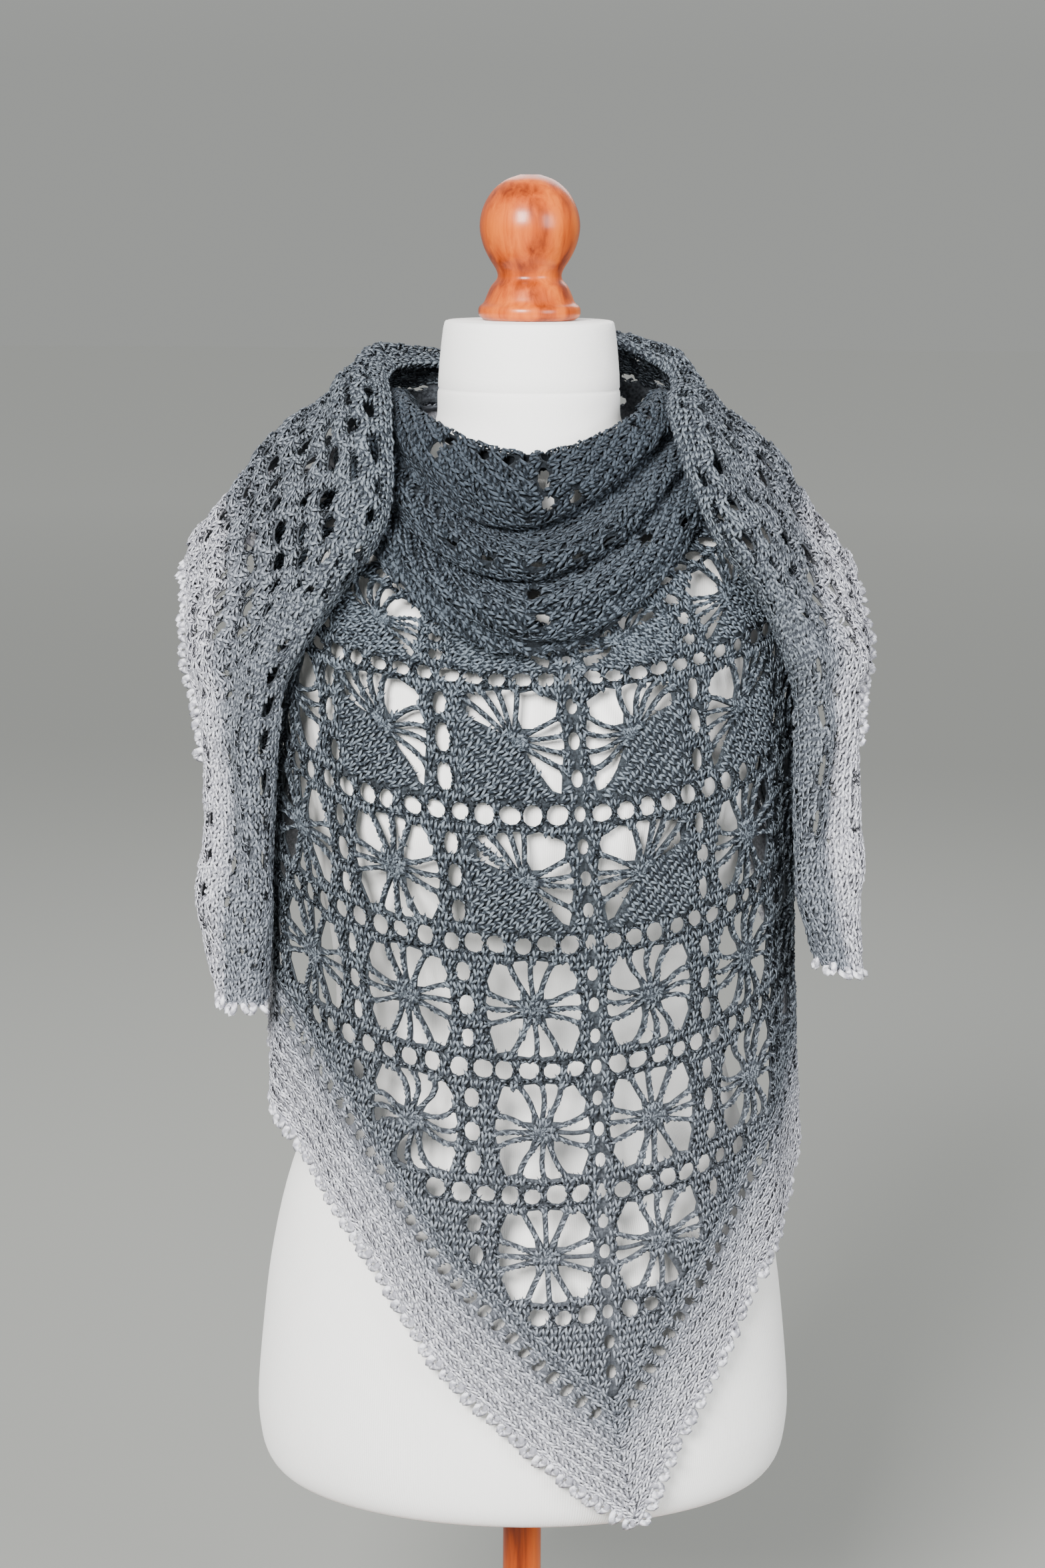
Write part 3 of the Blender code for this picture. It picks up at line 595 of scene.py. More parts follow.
def clothSheet(name, surface, out, chart, triangles, shadeOf):
    middle, normal, first, second = frameOf(surface, out, chart)
    corner = chart[triangles]
    edgeA = corner[:, 1] - corner[:, 0]
    edgeB = corner[:, 2] - corner[:, 0]
    turned = (edgeA[:, 0] * edgeB[:, 1] - edgeA[:, 1] * edgeB[:, 0] > 0) == (out < 0)
    triangles = np.where(turned[:, None], triangles[:, ::-1], triangles)
    count = len(chart)
    points = np.concatenate([middle + normal * sheetWall["inside"], middle + normal * sheetWall["outside"]])
    faces = (triangles + count).tolist() + triangles[:, ::-1].tolist()
    sides = {(int(a), int(b)) for t in triangles for a, b in zip(t, np.roll(t, -1))}
    faces += [(b + count, a + count, a, b) for a, b in sorted(sides) if (b, a) not in sides]
    shade = np.tile(shadeOf(chart), 2)
    # the sheet wears the wool with painted shade, darker than the stitches on it
    made = meshObject(name, points, faces, woolClothPaintedShade, shade)
    corner = middle[triangles]
    leaning = np.cross(corner[:, 1] - corner[:, 0], corner[:, 2] - corner[:, 0])
    area = np.linalg.norm(leaning, axis=1).sum() / 2
    return made, area


# Lace: windows with a flower of twisted strands, ringed by rows and ladders of small gaps

lace = {
    "windowWidth": 0.0535,
    "windowHeight": 0.0632,
    "rounding": 0.10,
    "hub": 0.0070,
    "strand": 0.0026,                 # uncut cloth left under a strand
    "bearings": (-23, 0, 23, 67, 90, 113, 157, 180, 203, 247, 270, 293),
    "halfBearings": (-46, -28, -10, 8, 62, 82, 102, 124),
    "halfEdges": (-66, 148),          # where the filled corner of a half flower begins and ends
    "halfLimit": 3,
    "swirl": 5.0,
    "wobble": 2.0,                    # degrees that a strand strays from its bearing
    "centreStray": 0.0006,
    "placeStray": 0.0005,
    "sideReaches": (0.25, 0.5, 0.75, 0.92),
    "wideGap": 30,                    # degrees; a wider gap bows further out
    "gapTrim": 0.44,                  # the most that a strand takes from a gap, as a share of it
    "strandReach": (-0.35, 1.12),
    "scallop": (1.02, 1.10, 0.27),    # reach at a strand's end and between two, and where it turns
    "fillReach": (0.72, 1.4),         # how far the rows of a filled corner go out and across
    "columns": 7,
    "tiers": range(-1, 7),
    "ovals": 5,
    "ovalSize": (0.0108, 0.0124),
    "ovalLean": 24.0,
    "rungSize": (0.0086, 0.0150),
    "spineSize": (0.0031, 0.0100),    # half width and height of the small gaps on the middle line
    "spineShift": 0.0026,             # how far the first flowers stand nearer the middle line
    "spineRoom": 0.0056,
    "rungStep": 0.0212,
    "margin": 0.0022,
    "fillEdge": 0.0010,
}
dice = np.random.default_rng(7)


def ellipse(centre, size, lean, points=10, squareness=0.9):
    turn = np.linspace(0, 2 * math.pi, points, endpoint=False)
    x = np.sign(np.cos(turn)) * np.abs(np.cos(turn)) ** squareness * size[0] / 2
    y = np.sign(np.sin(turn)) * np.abs(np.sin(turn)) ** squareness * size[1] / 2
    cos, sin = math.cos(math.radians(lean)), math.sin(math.radians(lean))
    return np.stack([centre[0] + x * cos - y * sin, centre[1] + x * sin + y * cos], 1)


class Flower:
    # one window of the lace: a reach of 0 is the hub's edge and 1 the window's, a bearing of 0 is straight up
    def __init__(self, side, column, tier):
        jitter = dice.normal(0, lace["centreStray"], 2)
        self.centre = np.array([
            side * (column - 0.5) * cloth["cellWidth"],
            cloth["firstTier"] + (tier + 0.5) * cloth["tierHeight"],
        ]) + jitter
        self.side = side
        if column == 1:
            self.centre[0] -= side * lace["spineShift"]
        self.half = tier + column < lace["halfLimit"]
        self.swirl = dice.normal(0, lace["swirl"])
        self.wobble = dice.normal(0, lace["wobble"], 16)

    def at(self, bearing, reach):
        turn = math.radians(bearing + self.swirl * math.sin(math.pi * reach))
        across, up = math.sin(turn), math.cos(turn)
        edge = 1 / max(abs(across) / (lace["windowWidth"] / 2), abs(up) / (lace["windowHeight"] / 2))
        edge *= 1 - lace["rounding"] * math.sin(2 * turn) ** 2
        radius = lace["hub"] + (edge - lace["hub"]) * reach
        return self.centre[0] + radius * across, self.centre[1] - radius * up

    def bearings(self):
        plain = lace["halfBearings"] if self.half else lace["bearings"]
        real = [b + w for b, w in zip(plain, self.wobble)]
        if self.half and self.side > 0:
            real = [-b for b in real][::-1]
        return real

    def gaps(self):
        lines = self.bearings()
        pairs = list(zip(lines, lines[1:]))
        if self.half:
            low, high = lace["halfEdges"] if self.side < 0 else [-e for e in lace["halfEdges"]][::-1]
            pairs = [(low, lines[0])] + pairs + [(lines[-1], high)]
        else:
            pairs.append((lines[-1], lines[0] + 360))
        return [self.gap(a, b) for a, b in pairs]

    def trim(self, reach, wide):
        half = lace["windowWidth"] / 2
        turn = math.degrees(lace["strand"] / 2 / (lace["hub"] + (half - lace["hub"]) * reach))
        return min(turn, lace["gapTrim"] * wide)

    def gap(self, start, end):
        middle = (start + end) / 2
        wide = end - start
        outer = 1.04 if wide > lace["wideGap"] else 1.0
        sides = lace["sideReaches"]
        loop = [self.at(middle, 0.06)] + [self.at(end - self.trim(reach, wide), reach) for reach in sides]
        loop += [self.at(middle + 0.24 * wide, outer), self.at(middle - 0.24 * wide, outer)]
        return np.array(loop + [self.at(start + self.trim(reach, wide), reach) for reach in sides[::-1]])

    def strands(self):
        reaches = np.linspace(*lace["strandReach"], 9)
        return [np.array([self.at(bearing, reach) for reach in reaches]) for bearing in self.bearings()]

    def rims(self):
        # scallops of the frame, from one strand's end to the next
        lines = self.bearings()
        pairs = list(zip(lines, lines[1:]))
        if not self.half:
            pairs.append((lines[-1], lines[0] + 360))
        near, far, bend = lace["scallop"]
        found = []
        for a, b in pairs:
            middle, wide = (a + b) / 2, b - a
            stops = ((a, near), (middle - bend * wide, far), (middle + bend * wide, far), (b, near))
            found.append(np.array([self.at(*stop) for stop in stops]))
        return found


def panelLace(side):
    # gaps, the paths of the strands and rims, and the hubs of the half flowers, over one half of the front
    gaps = []
    paths = []
    hubs = []
    width = cloth["cellWidth"]
    for column in range(1, lace["columns"] + 1):
        for tier in lace["tiers"]:
            flower = Flower(side, column, tier)
            top = cloth["firstTier"] + tier * cloth["tierHeight"]
            gaps += [("flower", gap) for gap in flower.gaps()]
            paths += [("strand", path) for path in flower.strands()]
            paths += [("rim", path) for path in flower.rims()]
            if flower.half:
                hubs.append(flower.centre)
            start = lace["spineRoom"] if column == 1 else (column - 1) * width
            for i in range(lace["ovals"]):
                place = (side * (start + (column * width - start) * (i + 0.5) / lace["ovals"]), top)
                place = np.array(place) + dice.normal(0, lace["placeStray"], 2)
                size = np.array(lace["ovalSize"]) * dice.uniform(0.85, 1.12, 2)
                gaps.append(("oval", ellipse(place, size, -side * lace["ovalLean"] * dice.uniform(0.3, 1.2))))
            for i in (-1, 0, 1):
                place = (side * column * width, top + cloth["tierHeight"] / 2 + i * lace["rungStep"])
                place = np.array(place) + dice.normal(0, lace["placeStray"], 2)
                size = np.array(lace["rungSize"]) * dice.uniform(0.85, 1.1, 2)
                gaps.append(("rung", ellipse(place, size, -side * dice.uniform(0, 14))))
    return gaps, paths, hubs


def spineEdge(side, top, low):
    # the middle edge of a panel, with half of each small gap of the spine cut into it
    halfWidth, height = lace["spineSize"]
    step = cloth["tierHeight"] / 4
    first = math.ceil((top + height - cloth["firstTier"]) / step)
    last = math.floor((low - height - cloth["firstTier"]) / step)
    points = [(0.0, top)]
    for index in range(first, last + 1):
        place = cloth["firstTier"] + index * step
        for turn in np.linspace(0, math.pi, 7):
            points.append((side * halfWidth * math.sin(turn), place - height / 2 * math.cos(turn)))
    return np.array(points + [(0.0, low)])


def fillPlaces(side, hubs):
    # slanting rows of stitches in the filled corner of each half flower
    half = np.array([lace["windowWidth"], lace["windowHeight"]]) / 2 + lace["fillEdge"]
    out, reach = lace["fillReach"]
    step = stitches["stitchStep"]
    found = []
    for centre in hubs:
        for row, away in enumerate(np.arange(0, half.sum() * out, stitches["rowStep"])):
            run = np.arange(-half[1] * reach, half[1] * reach, step) + step * 0.5 * (row % 2)
            across = (away + run) * math.sqrt(0.5)
            down = (away - run) * math.sqrt(0.5)
            good = (np.abs(across) < half[0]) & (np.abs(down) < half[1])
            lean = stitches["lean"] * rowSign(row)
            way = (side * (lean - 1) * math.sqrt(0.5), (-lean - 1) * math.sqrt(0.5))
            places = zip(across[good], down[good])
            found += [(centre[0] + side * a, centre[1] + d, *way) for a, d in places]
    return np.array(found)


def inFill(side, hubs, places):
    half = np.array([lace["windowWidth"], lace["windowHeight"]]) / 2 + lace["fillEdge"]
    inside = np.zeros(len(places), bool)
    for centre in hubs:
        across = side * (places[:, 0] - centre[0])
        down = places[:, 1] - centre[1]
        near = (np.abs(across) < half[0]) & (np.abs(down) < half[1])
        inside |= near & (across + down > -0.5 * stitches["rowStep"])
    return inside


def fitting(gaps, outline):
    edge = Gaps([outline])
    points = np.concatenate([gap for _, gap in gaps])
    good = edge.inside(points) & edge.clear(points, lace["margin"])
    kept = []
    first = 0
    for kind, gap in gaps:
        if good[first:first + len(gap)].all():
            kept.append((kind, gap))
        first += len(gap)
    return kept


# Stitches: their places in the rows of the chart, and their own shapes

stitches = {
    "lift": 0.0,                      # the stitches' middle above the solid's outer face
    "size": (0.0046, 0.0034, 0.0064),
    "jitter": (0.14, 0.28, 0.32),
    "rowStep": cloth["tierHeight"] / 17,
    "stitchStep": cloth["cellWidth"] / 18,
    "lean": 0.22,
    "stray": 0.00022,
    "clear": 0.00142,
    "grow": (0.86, 1.14),             # how much smaller or larger one stitch is than the next
}


def rowPhase(row):
    # where the first stitch of a row stands, in steps: every second row is half a step further on
    return 0.25 + 0.5 * (row % 2)


def rowSign(row):
    # stitches point one way in one row and the other way in the next
    return np.where(np.asarray(row) % 2 > 0, 1, -1)


# Node trees: a field of stitches set on points, and two-ply yarn laid along paths

yarn = {
    "strand": {"Ply radius": 0.00115, "Spread": 0.00096, "Twist length": 0.0068, "Step": 0.0025, "Sides": 3},
    "rim": {"Ply radius": 0.00080, "Spread": 0.00062, "Twist length": 0.0064, "Step": 0.0036, "Sides": 3},
    "lift": 0.0006,
    "plyTone": 1.6,
}


def geometryTree(name, inputs):
    group = bpy.data.node_groups.new(name, "GeometryNodeTree")
    group.interface.new_socket("Geometry", in_out="INPUT", socket_type="NodeSocketGeometry")
    for label, kind, value in inputs:
        socket = group.interface.new_socket(label, in_out="INPUT", socket_type=kind)
        if value is not None:
            socket.default_value = value
    group.interface.new_socket("Geometry", in_out="OUTPUT", socket_type="NodeSocketGeometry")
    tree = Tree(group)
    return tree, tree.add("NodeGroupInput").outputs


def attribute(tree, name, kind="FLOAT_VECTOR"):
    return tree.add("GeometryNodeInputNamedAttribute", {"Name": name}, data_type=kind).outputs["Attribute"]


def makeStitchTree():
    tree, given = geometryTree("stitchField", (
        ("Stitch", "NodeSocketObject", None),
        ("Size", "NodeSocketVector", (0.0036, 0.002, 0.005)),
        ("Jitter", "NodeSocketVector", (0.15, 0.15, 0.3)),
        ("Seed", "NodeSocketInt", 1),
        ("Wool", "NodeSocketMaterial", None),
    ))
    stitch = tree.add("GeometryNodeObjectInfo", {"Object": given["Stitch"]}).outputs["Geometry"]
    aim = tree.first(
        "FunctionNodeAxesToRotation",
        {"Primary Axis": attribute(tree, "along"), "Secondary Axis": attribute(tree, "facing")},
        primary_axis="Z", secondary_axis="Y",
    )
    back = tree.first("ShaderNodeVectorMath", {0: given["Jitter"], 1: (-1, -1, -1)}, operation="MULTIPLY")
    wobble = tree.first("FunctionNodeRandomValue", {
        0: back, 1: given["Jitter"], "Seed": given["Seed"],
    }, data_type="FLOAT_VECTOR")
    turn = tree.first("FunctionNodeEulerToRotation", {0: wobble})
    aim = tree.first("FunctionNodeRotateRotation", {0: aim, 1: turn}, rotation_space="LOCAL")
    grow = attribute(tree, "grow")
    size = tree.first("ShaderNodeVectorMath", {0: given["Size"], 1: grow}, operation="MULTIPLY")
    placed = tree.first("GeometryNodeInstanceOnPoints", {
        "Points": given["Geometry"], "Instance": stitch, "Rotation": aim, "Scale": size,
    })
    tone = tree.add("FunctionNodeRandomValue", {"Seed": given["Seed"], 2: -1.0, 3: 1.0}, data_type="FLOAT")
    stored = tree.store(placed, "tone", tone.outputs[1], domain="INSTANCE")
    real = tree.first("GeometryNodeRealizeInstances", {"Geometry": stored})
    done = tree.first("GeometryNodeSetMaterial", {"Geometry": real, "Material": given["Wool"]})
    tree.add("NodeGroupOutput", {"Geometry": done})
    return tree.tree


def makeYarnTree():
    tree, given = geometryTree("twistedYarn", (
        ("Ply radius", "NodeSocketFloat", 0.0009),
        ("Spread", "NodeSocketFloat", 0.0007),
        ("Twist length", "NodeSocketFloat", 0.006),
        ("Step", "NodeSocketFloat", 0.0016),
        ("Sides", "NodeSocketInt", 4),
        ("Wool", "NodeSocketMaterial", None),
    ))
    line = tree.first("GeometryNodeMeshToCurve", {"Mesh": given["Geometry"]})
    line = tree.first("GeometryNodeCurveSplineType", {"Curve": line}, spline_type="CATMULL_ROM")
    line = tree.first("GeometryNodeResampleCurve", {"Curve": line, "Length": given["Step"]}, mode="LENGTH")
    run = tree.add("GeometryNodeSplineParameter").outputs["Length"]
    line = tree.store(line, "run", run)
    turns = tree.calc("DIVIDE", run, given["Twist length"])
    tilt = tree.calc("MULTIPLY", turns, 2 * math.pi)
    line = tree.first("GeometryNodeSetCurveTilt", {"Curve": line, "Tilt": tilt})
    join = tree.add("GeometryNodeJoinGeometry")
    for side in (-1, 1):
        ring = tree.first("GeometryNodeCurvePrimitiveCircle", {
            "Resolution": given["Sides"], "Radius": given["Ply radius"],
        }, mode="RADIUS")
        ring = tree.store(ring, "around", tree.first("GeometryNodeInputPosition"), "FLOAT_VECTOR")
        place = tree.calc("MULTIPLY", given["Spread"], float(side))
        offset = tree.first("ShaderNodeCombineXYZ", {0: place})
        ring = tree.first("GeometryNodeTransform", {"Geometry": ring, "Translation": offset})
        tree.link(tree.store(ring, "tone", yarn["plyTone"] * side), join.inputs[0])
    tube = tree.first("GeometryNodeCurveToMesh", {
        "Curve": line, "Profile Curve": join.outputs[0], "Fill Caps": True,
    })
    around = tree.add("ShaderNodeSeparateXYZ", {0: attribute(tree, "around")}).outputs
    twist = tree.first("ShaderNodeCombineXYZ", {
        0: around[0], 1: around[1], 2: attribute(tree, "run", "FLOAT"),
    })
    tube = tree.store(tube, "twist", twist, "FLOAT_VECTOR")
    smooth = tree.first("GeometryNodeSetShadeSmooth", {"Geometry": tube})
    real = tree.first("GeometryNodeRealizeInstances", {"Geometry": smooth})
    done = tree.first("GeometryNodeSetMaterial", {"Geometry": real, "Material": given["Wool"]})
    tree.add("NodeGroupOutput", {"Geometry": done})
    return tree.tree


def grown(source, tree, values, name):
    # the result of a tree on an object, as a plain mesh
    modifier = source.modifiers.new("grow", "NODES")
    modifier.node_group = tree
    for item in tree.interface.items_tree:
        if item.in_out == "INPUT" and item.name in values:
            modifier[item.identifier] = values[item.name]
    bpy.context.view_layer.update()
    evaluated = source.evaluated_get(bpy.context.evaluated_depsgraph_get())
    mesh = bpy.data.meshes.new_from_object(evaluated)
    source.modifiers.remove(modifier)
    bpy.data.objects.remove(source)
    mesh.name = name
    thing = bpy.data.objects.new(name, mesh)
    bpy.context.scene.collection.objects.link(thing)
    return thing


def loopMesh(name, paths, sides=3):
    # pointed tubes through short lists of centre and radius, as one stitch's own shape
    points = []
    faces = []
    tones = []
    twists = []
    for tone, path in paths:
        first = len(points)
        places = np.array([p[:3] for p in path])
        run = runAlong(places) * stitches["size"][2]
        ways = np.gradient(places, axis=0)
        for (x, y, z, radius), way, far in zip(path[1:-1], ways[1:-1], run[1:-1]):
            way = Vector(way).normalized()
            right = way.cross(Vector((0, 1, 0))).normalized()
            up = right.cross(way)
            for i in range(sides):
                turn = 2 * math.pi * (i + 0.25) / sides
                points.append(Vector((x, y, z)) + radius * (math.cos(turn) * right + math.sin(turn) * up))
                twists.append((math.cos(turn), math.sin(turn), far))
        rows = len(path) - 2
        start = len(points)
        points += [Vector(places[0]), Vector(places[-1])]
        twists += [(0, 0, 0), (0, 0, run[-1])]
        tones += [tone] * (len(points) - first)
        for i in range(sides):
            a, b = first + i, first + (i + 1) % sides
            for row in range(rows - 1):
                faces.append((a + row * sides, a + (row + 1) * sides, b + (row + 1) * sides, b + row * sides))
            last = (rows - 1) * sides
            faces.append((start, a, b))
            faces.append((start + 1, b + last, a + last))
    thing = meshObject(name, points, faces, None)
    mesh = thing.data
    mesh.update()
    held = mesh.attributes.new("ply", "FLOAT", "POINT")
    held.data.foreach_set("value", np.array(tones, np.float32))
    held = mesh.attributes.new("twist", "FLOAT_VECTOR", "POINT")
    held.data.foreach_set("vector", np.array(twists, np.float32).ravel())
    thing.hide_render = True
    return thing


# One stitch is a pair of plump loops leaning apart; a picot is a small round loop. Both are one unit large.
# Each ply has its tone, then x, y, z and radius along its middle.
stitchShapes = {
    "vee": tuple(
        (ply, tuple((ply * x, y, z, radius) for x, y, z, radius in (
            (-0.02, -0.45, -0.66, 0), (0.13, 0.36, -0.28, 0.20),
            (0.32, 0.36, 0.26, 0.20), (0.46, -0.45, 0.64, 0),
        )))
        for ply in (-1, 1)
    ),
    "picot": tuple(
        (-ply, tuple(
            (ply * 0.30 * math.sin(turn), ply * 0.16 * math.sin(2 * turn), 0.26 - 0.40 * math.cos(turn), 0.24)
            for turn in np.linspace(-0.15, math.pi + 0.3, 7)
        ))
        for ply in (1, -1)
    ),
}
stitchTree = makeStitchTree()
yarnTree = makeYarnTree()
veeStitch = loopMesh("veeStitch", stitchShapes["vee"])
picotStitch = loopMesh("picotStitch", stitchShapes["picot"], sides=5)
report("trees")


def stitchField(name, surface, out, chart, ways, shadeOf, seed, lift=None, shape=None, size=None, rise=0.0):
    # chart places, and for each the direction in the chart that its stitch points; rise tips it out
    middle, normal, first, second = frameOf(surface, out, chart)
    along = first * ways[:, :1] + second * ways[:, 1:]
    along /= np.linalg.norm(along, axis=1, keepdims=True)
    along = along + normal * rise
    along /= np.linalg.norm(along, axis=1, keepdims=True)
    points = middle + normal * (stitches["lift"] if lift is None else lift)
    if shape is None:
        points = points + np.random.default_rng(seed + 500).normal(0, stitches["stray"], points.shape)
    source = meshObject(name + "Points", points, [], None, shadeOf(chart))
    grow = np.random.default_rng(seed).uniform(*stitches["grow"], (len(chart), 3))
    for label, values in (("along", along), ("facing", normal), ("grow", grow)):
        held = source.data.attributes.new(label, "FLOAT_VECTOR", "POINT")
        held.data.foreach_set("vector", np.asarray(values, np.float32).ravel())
    return grown(source, stitchTree, {
        "Stitch": shape or veeStitch,
        "Size": size or stitches["size"],
        "Jitter": stitches["jitter"],
        "Seed": seed,
        "Wool": woolStitch,
    }, name)


def yarnPaths(name, surface, out, paths, kind, shadeOf, lift=None):
    # paths are lists of chart places
    chart = np.concatenate(paths)
    middle, normal, _, _ = frameOf(surface, out, chart)
    points = middle + normal * (yarn["lift"] if lift is None else lift)
    edges = []
    first = 0
    for path in paths:
        edges += [(first + i, first + i + 1) for i in range(len(path) - 1)]
        first += len(path)
    source = meshObject(name + "Paths", points, [], None, shadeOf(chart), edges)
    return grown(source, yarnTree, {**yarn[kind], "Wool": woolStitch}, name)


def walk(surface, line, spacing, phase=0.5):
    # places along a chart line, evenly spaced on the cloth, and the line's direction at each
    places = surface(line)
    run = runAlong(places)
    count = max(1, round(run[-1] / spacing))
    at = (np.arange(count) + phase) * run[-1] / count
    chart = np.stack([np.interp(at, run, line[:, k]) for k in (0, 1)], 1)
    slope = np.gradient(line, axis=0)
    ways = np.stack([np.interp(at, run, slope[:, k]) for k in (0, 1)], 1)
    return chart, ways


def alongLine(begin, end, at, count):
    return np.stack([np.linspace(begin, end, count), np.full(count, at)], 1)


def overLine(at, begin, end, count):
    return np.stack([np.full(count, at), np.linspace(begin, end, count)], 1)


def ringRound(hole, grow):
    middle = hole.mean(0)
    ring = middle + (hole - middle) * grow
    return np.concatenate([ring, ring[:1]])


def lengthOf(surface, line):
    return np.linalg.norm(np.diff(surface(line), axis=0), axis=1).sum()


def triangleCount(thing):
    return sum(len(polygon.vertices) - 2 for polygon in thing.data.polygons)


pieces = []


def keep(node, slot, sheet, others, area, flat):
    # a finished piece of the shawl: its sheet, all that lies on it, and its flat size
    pieces.append({"node": node, "slot": slot, "sheet": sheet, "with": others, "area": area, "flat": flat})
    report(f"{node}: area {area:.4f}, triangles {[triangleCount(thing) for thing in [sheet] + others]}")


# Shades along the cloth, 0 at the charcoal neck and 1 at the pale hem

shades = {
    "down": (0.15, 0.2585, 0.34, 0.45, 0.60, 0.75),
    "downShade": (0.22, 0.33, 0.38, 0.44, 0.56, 0.68),
    "border": (0.0, 0.045, 0.075, 0.10),
    "borderShade": (0.99, 0.88, 0.72, 0.0),
    "cowl": (0.0, 0.14),
    "across": {-1: (0.0, 0.30, 0.56, 0.68, 1.0), 1: (0.0, 0.27, 0.49, 0.62, 1.0)},
    "acrossShade": (0.43, 0.51, 0.60, 0.95, 1.0),
    "tail": (6.5, 9.0, 10.6, 11.0),    # sections over which a tail pales
    "tailShade": (0.0, 0.25, 0.55, 1.0),
    "palest": 0.99,
}


def panelShade(side):
    def shade(chart):
        across, down = np.abs(chart[:, 0]), chart[:, 1]
        plain = np.interp(down, shades["down"], shades["downShade"])
        border = np.interp(hemDown(side, across) - down, shades["border"], shades["borderShade"])
        return np.maximum(plain, border)
    return shade


def cowlShade(chart):
    share = chart[:, 1] / (len(cowlRows) - 1)
    return shades["cowl"][0] + (shades["cowl"][1] - shades["cowl"][0]) * share


def wrapShade(side):
    def shade(chart):
        plain = np.interp(chart[:, 1], shades["across"][side], shades["acrossShade"])
        tail = np.interp(chart[:, 0], shades["tail"], shades["tailShade"])
        return plain + (shades["palest"] - plain) * tail * wrap["tailFade"][side]
    return shade


# Front of the shawl: lace panels with their edging

front = {
    "gridStep": 0.0105,
    "seamSteps": 60,
    "edgeRoom": 0.0010,
    "borderRowStep": 0.0058,
    "borderPairing": -0.0010,
    "borderRows": 24,
    "borderRise": 0.0026,
    "borderStitchStep": 0.0044,
    "borderClear": 0.0010,
    "edgeOvals": (0.066, 0.0125, (0.0062, 0.0100)),    # distance up from the hem, spacing, size
    "edgeOvalLean": 12,
    "picotStep": 0.0104,
    "picotSize": (0.0098, 0.0066, 0.0094),
    "rows": (-30, 140),                # rows of stitches, counted from the first tier
    "strandRoom": 0.001,
    "strandReach": 0.006,              # a strand is left out where no gap of its flower is this near
    "rimGrow": 1.12,
}


def panelOutlines(side):
    # the lace panel and the edging below it, in the flat
    far = endAcross(side)
    share = np.linspace(0, 1, front["seamSteps"] + 1)
    hem = np.stack([side * far * share, hemDown(side, far * share)], 1)
    seamFar = abs(backAcross(side, hem[-1:, 1] - cloth["borderDrop"]))[0]
    seam = np.stack([side * seamFar * share, hemDown(side, seamFar * share) - cloth["borderDrop"]], 1)
    top = shellRows[0, 0]
    backDown = np.linspace(top, seam[-1, 1], 40)
    back = np.stack([backAcross(side, backDown), backDown], 1)
    rim = np.stack([np.linspace(back[0, 0], 0, 30), np.full(30, top)], 1)
    middle = spineEdge(side, top, seam[0, 1])
    lacePanel = np.concatenate([middle[1:-1], seam, back[::-1][1:-1], rim[:-1]])
    backDown = np.linspace(seam[-1, 1], hem[-1, 1], 8)
    back = np.stack([backAcross(side, backDown), backDown], 1)
    tip = np.stack([np.zeros(10), np.linspace(hem[0, 1], seam[0, 1], 10)], 1)
    edging = np.concatenate([tip[:-1], seam[:-1], back[:-1], hem[::-1][:-1]])
    return lacePanel, edging, hem


def stitchPlaces(side, lacePanel, holes, hubs):
    # stitches stand in rows wherever the cloth isn't cut
    step, rowStep = stitches["stitchStep"], stitches["rowStep"]
    first = cloth["firstTier"]
    wide = lacePanel[:, 0].max() - lacePanel[:, 0].min()
    columns = np.arange(0, wide, step)
    places = np.array([
        (side * (column + step * rowPhase(row)), first + row * rowStep)
        for row in range(*front["rows"]) for column in columns
    ])
    lean = rowSign(np.round((places[:, 1] - first) / rowStep)) * stitches["lean"]
    plain = ~inFill(side, hubs, places)
    filled = fillPlaces(side, hubs)
    ways = np.stack([lean[plain], -np.ones(plain.sum())], 1)
    places, ways = np.concatenate([places[plain], filled[:, :2]]), np.concatenate([ways, filled[:, 2:]])
    good = Gaps([lacePanel] + holes).inside(places)
    places, ways = places[good], ways[good]
    good = Gaps(holes).clear(places, stitches["clear"]) & Gaps([lacePanel]).clear(places, front["edgeRoom"])
    return places[good], ways[good]


def yarnLines(lacePanel, gaps, paths):
    # strands of the flowers, the scalloped rims round their windows, and a ring round every other gap
    outline = Gaps([lacePanel])
    flowerPoints = np.concatenate([gap for kind, gap in gaps if kind == "flower"])
    found = {"strand": [], "rim": []}
    for kind, path in paths:
        if not (outline.inside(path).all() and outline.clear(path, front["strandRoom"]).all()):
            continue
        middle = path[len(path) // 2]
        if np.abs(flowerPoints - middle).max(1).min() <= front["strandReach"]:
            found[kind].append(path)
    found["rim"] += [ringRound(gap, front["rimGrow"]) for kind, gap in gaps if kind != "flower"]
    return found["strand"], found["rim"]


def buildPanel(side, name, lacePanel):
    shade = panelShade(side)
    gaps, paths, hubs = panelLace(side)
    gaps = fitting(gaps, lacePanel)
    holes = [gap for _, gap in gaps]
    chart, triangles = cutSheet(lacePanel, holes, front["gridStep"])
    sheet, area = clothSheet(name + "_cloth", shellPoint, -1, chart, triangles, shade)
    places, ways = stitchPlaces(side, lacePanel, holes, hubs)
    made = stitchField(name + "_stitches", shellPoint, -1, places, ways, shade, 11 + side)
    strands, rims = yarnLines(lacePanel, gaps, paths)
    strandYarn = yarnPaths(name + "_strands", shellPoint, -1, strands, "strand", shade)
    rimYarn = yarnPaths(name + "_rims", shellPoint, -1, rims, "rim", shade)
    flat = tuple(lacePanel.max(0) - lacePanel.min(0))
    keep(name, "grey_wool", sheet, [made, strandYarn, rimYarn], area, flat)


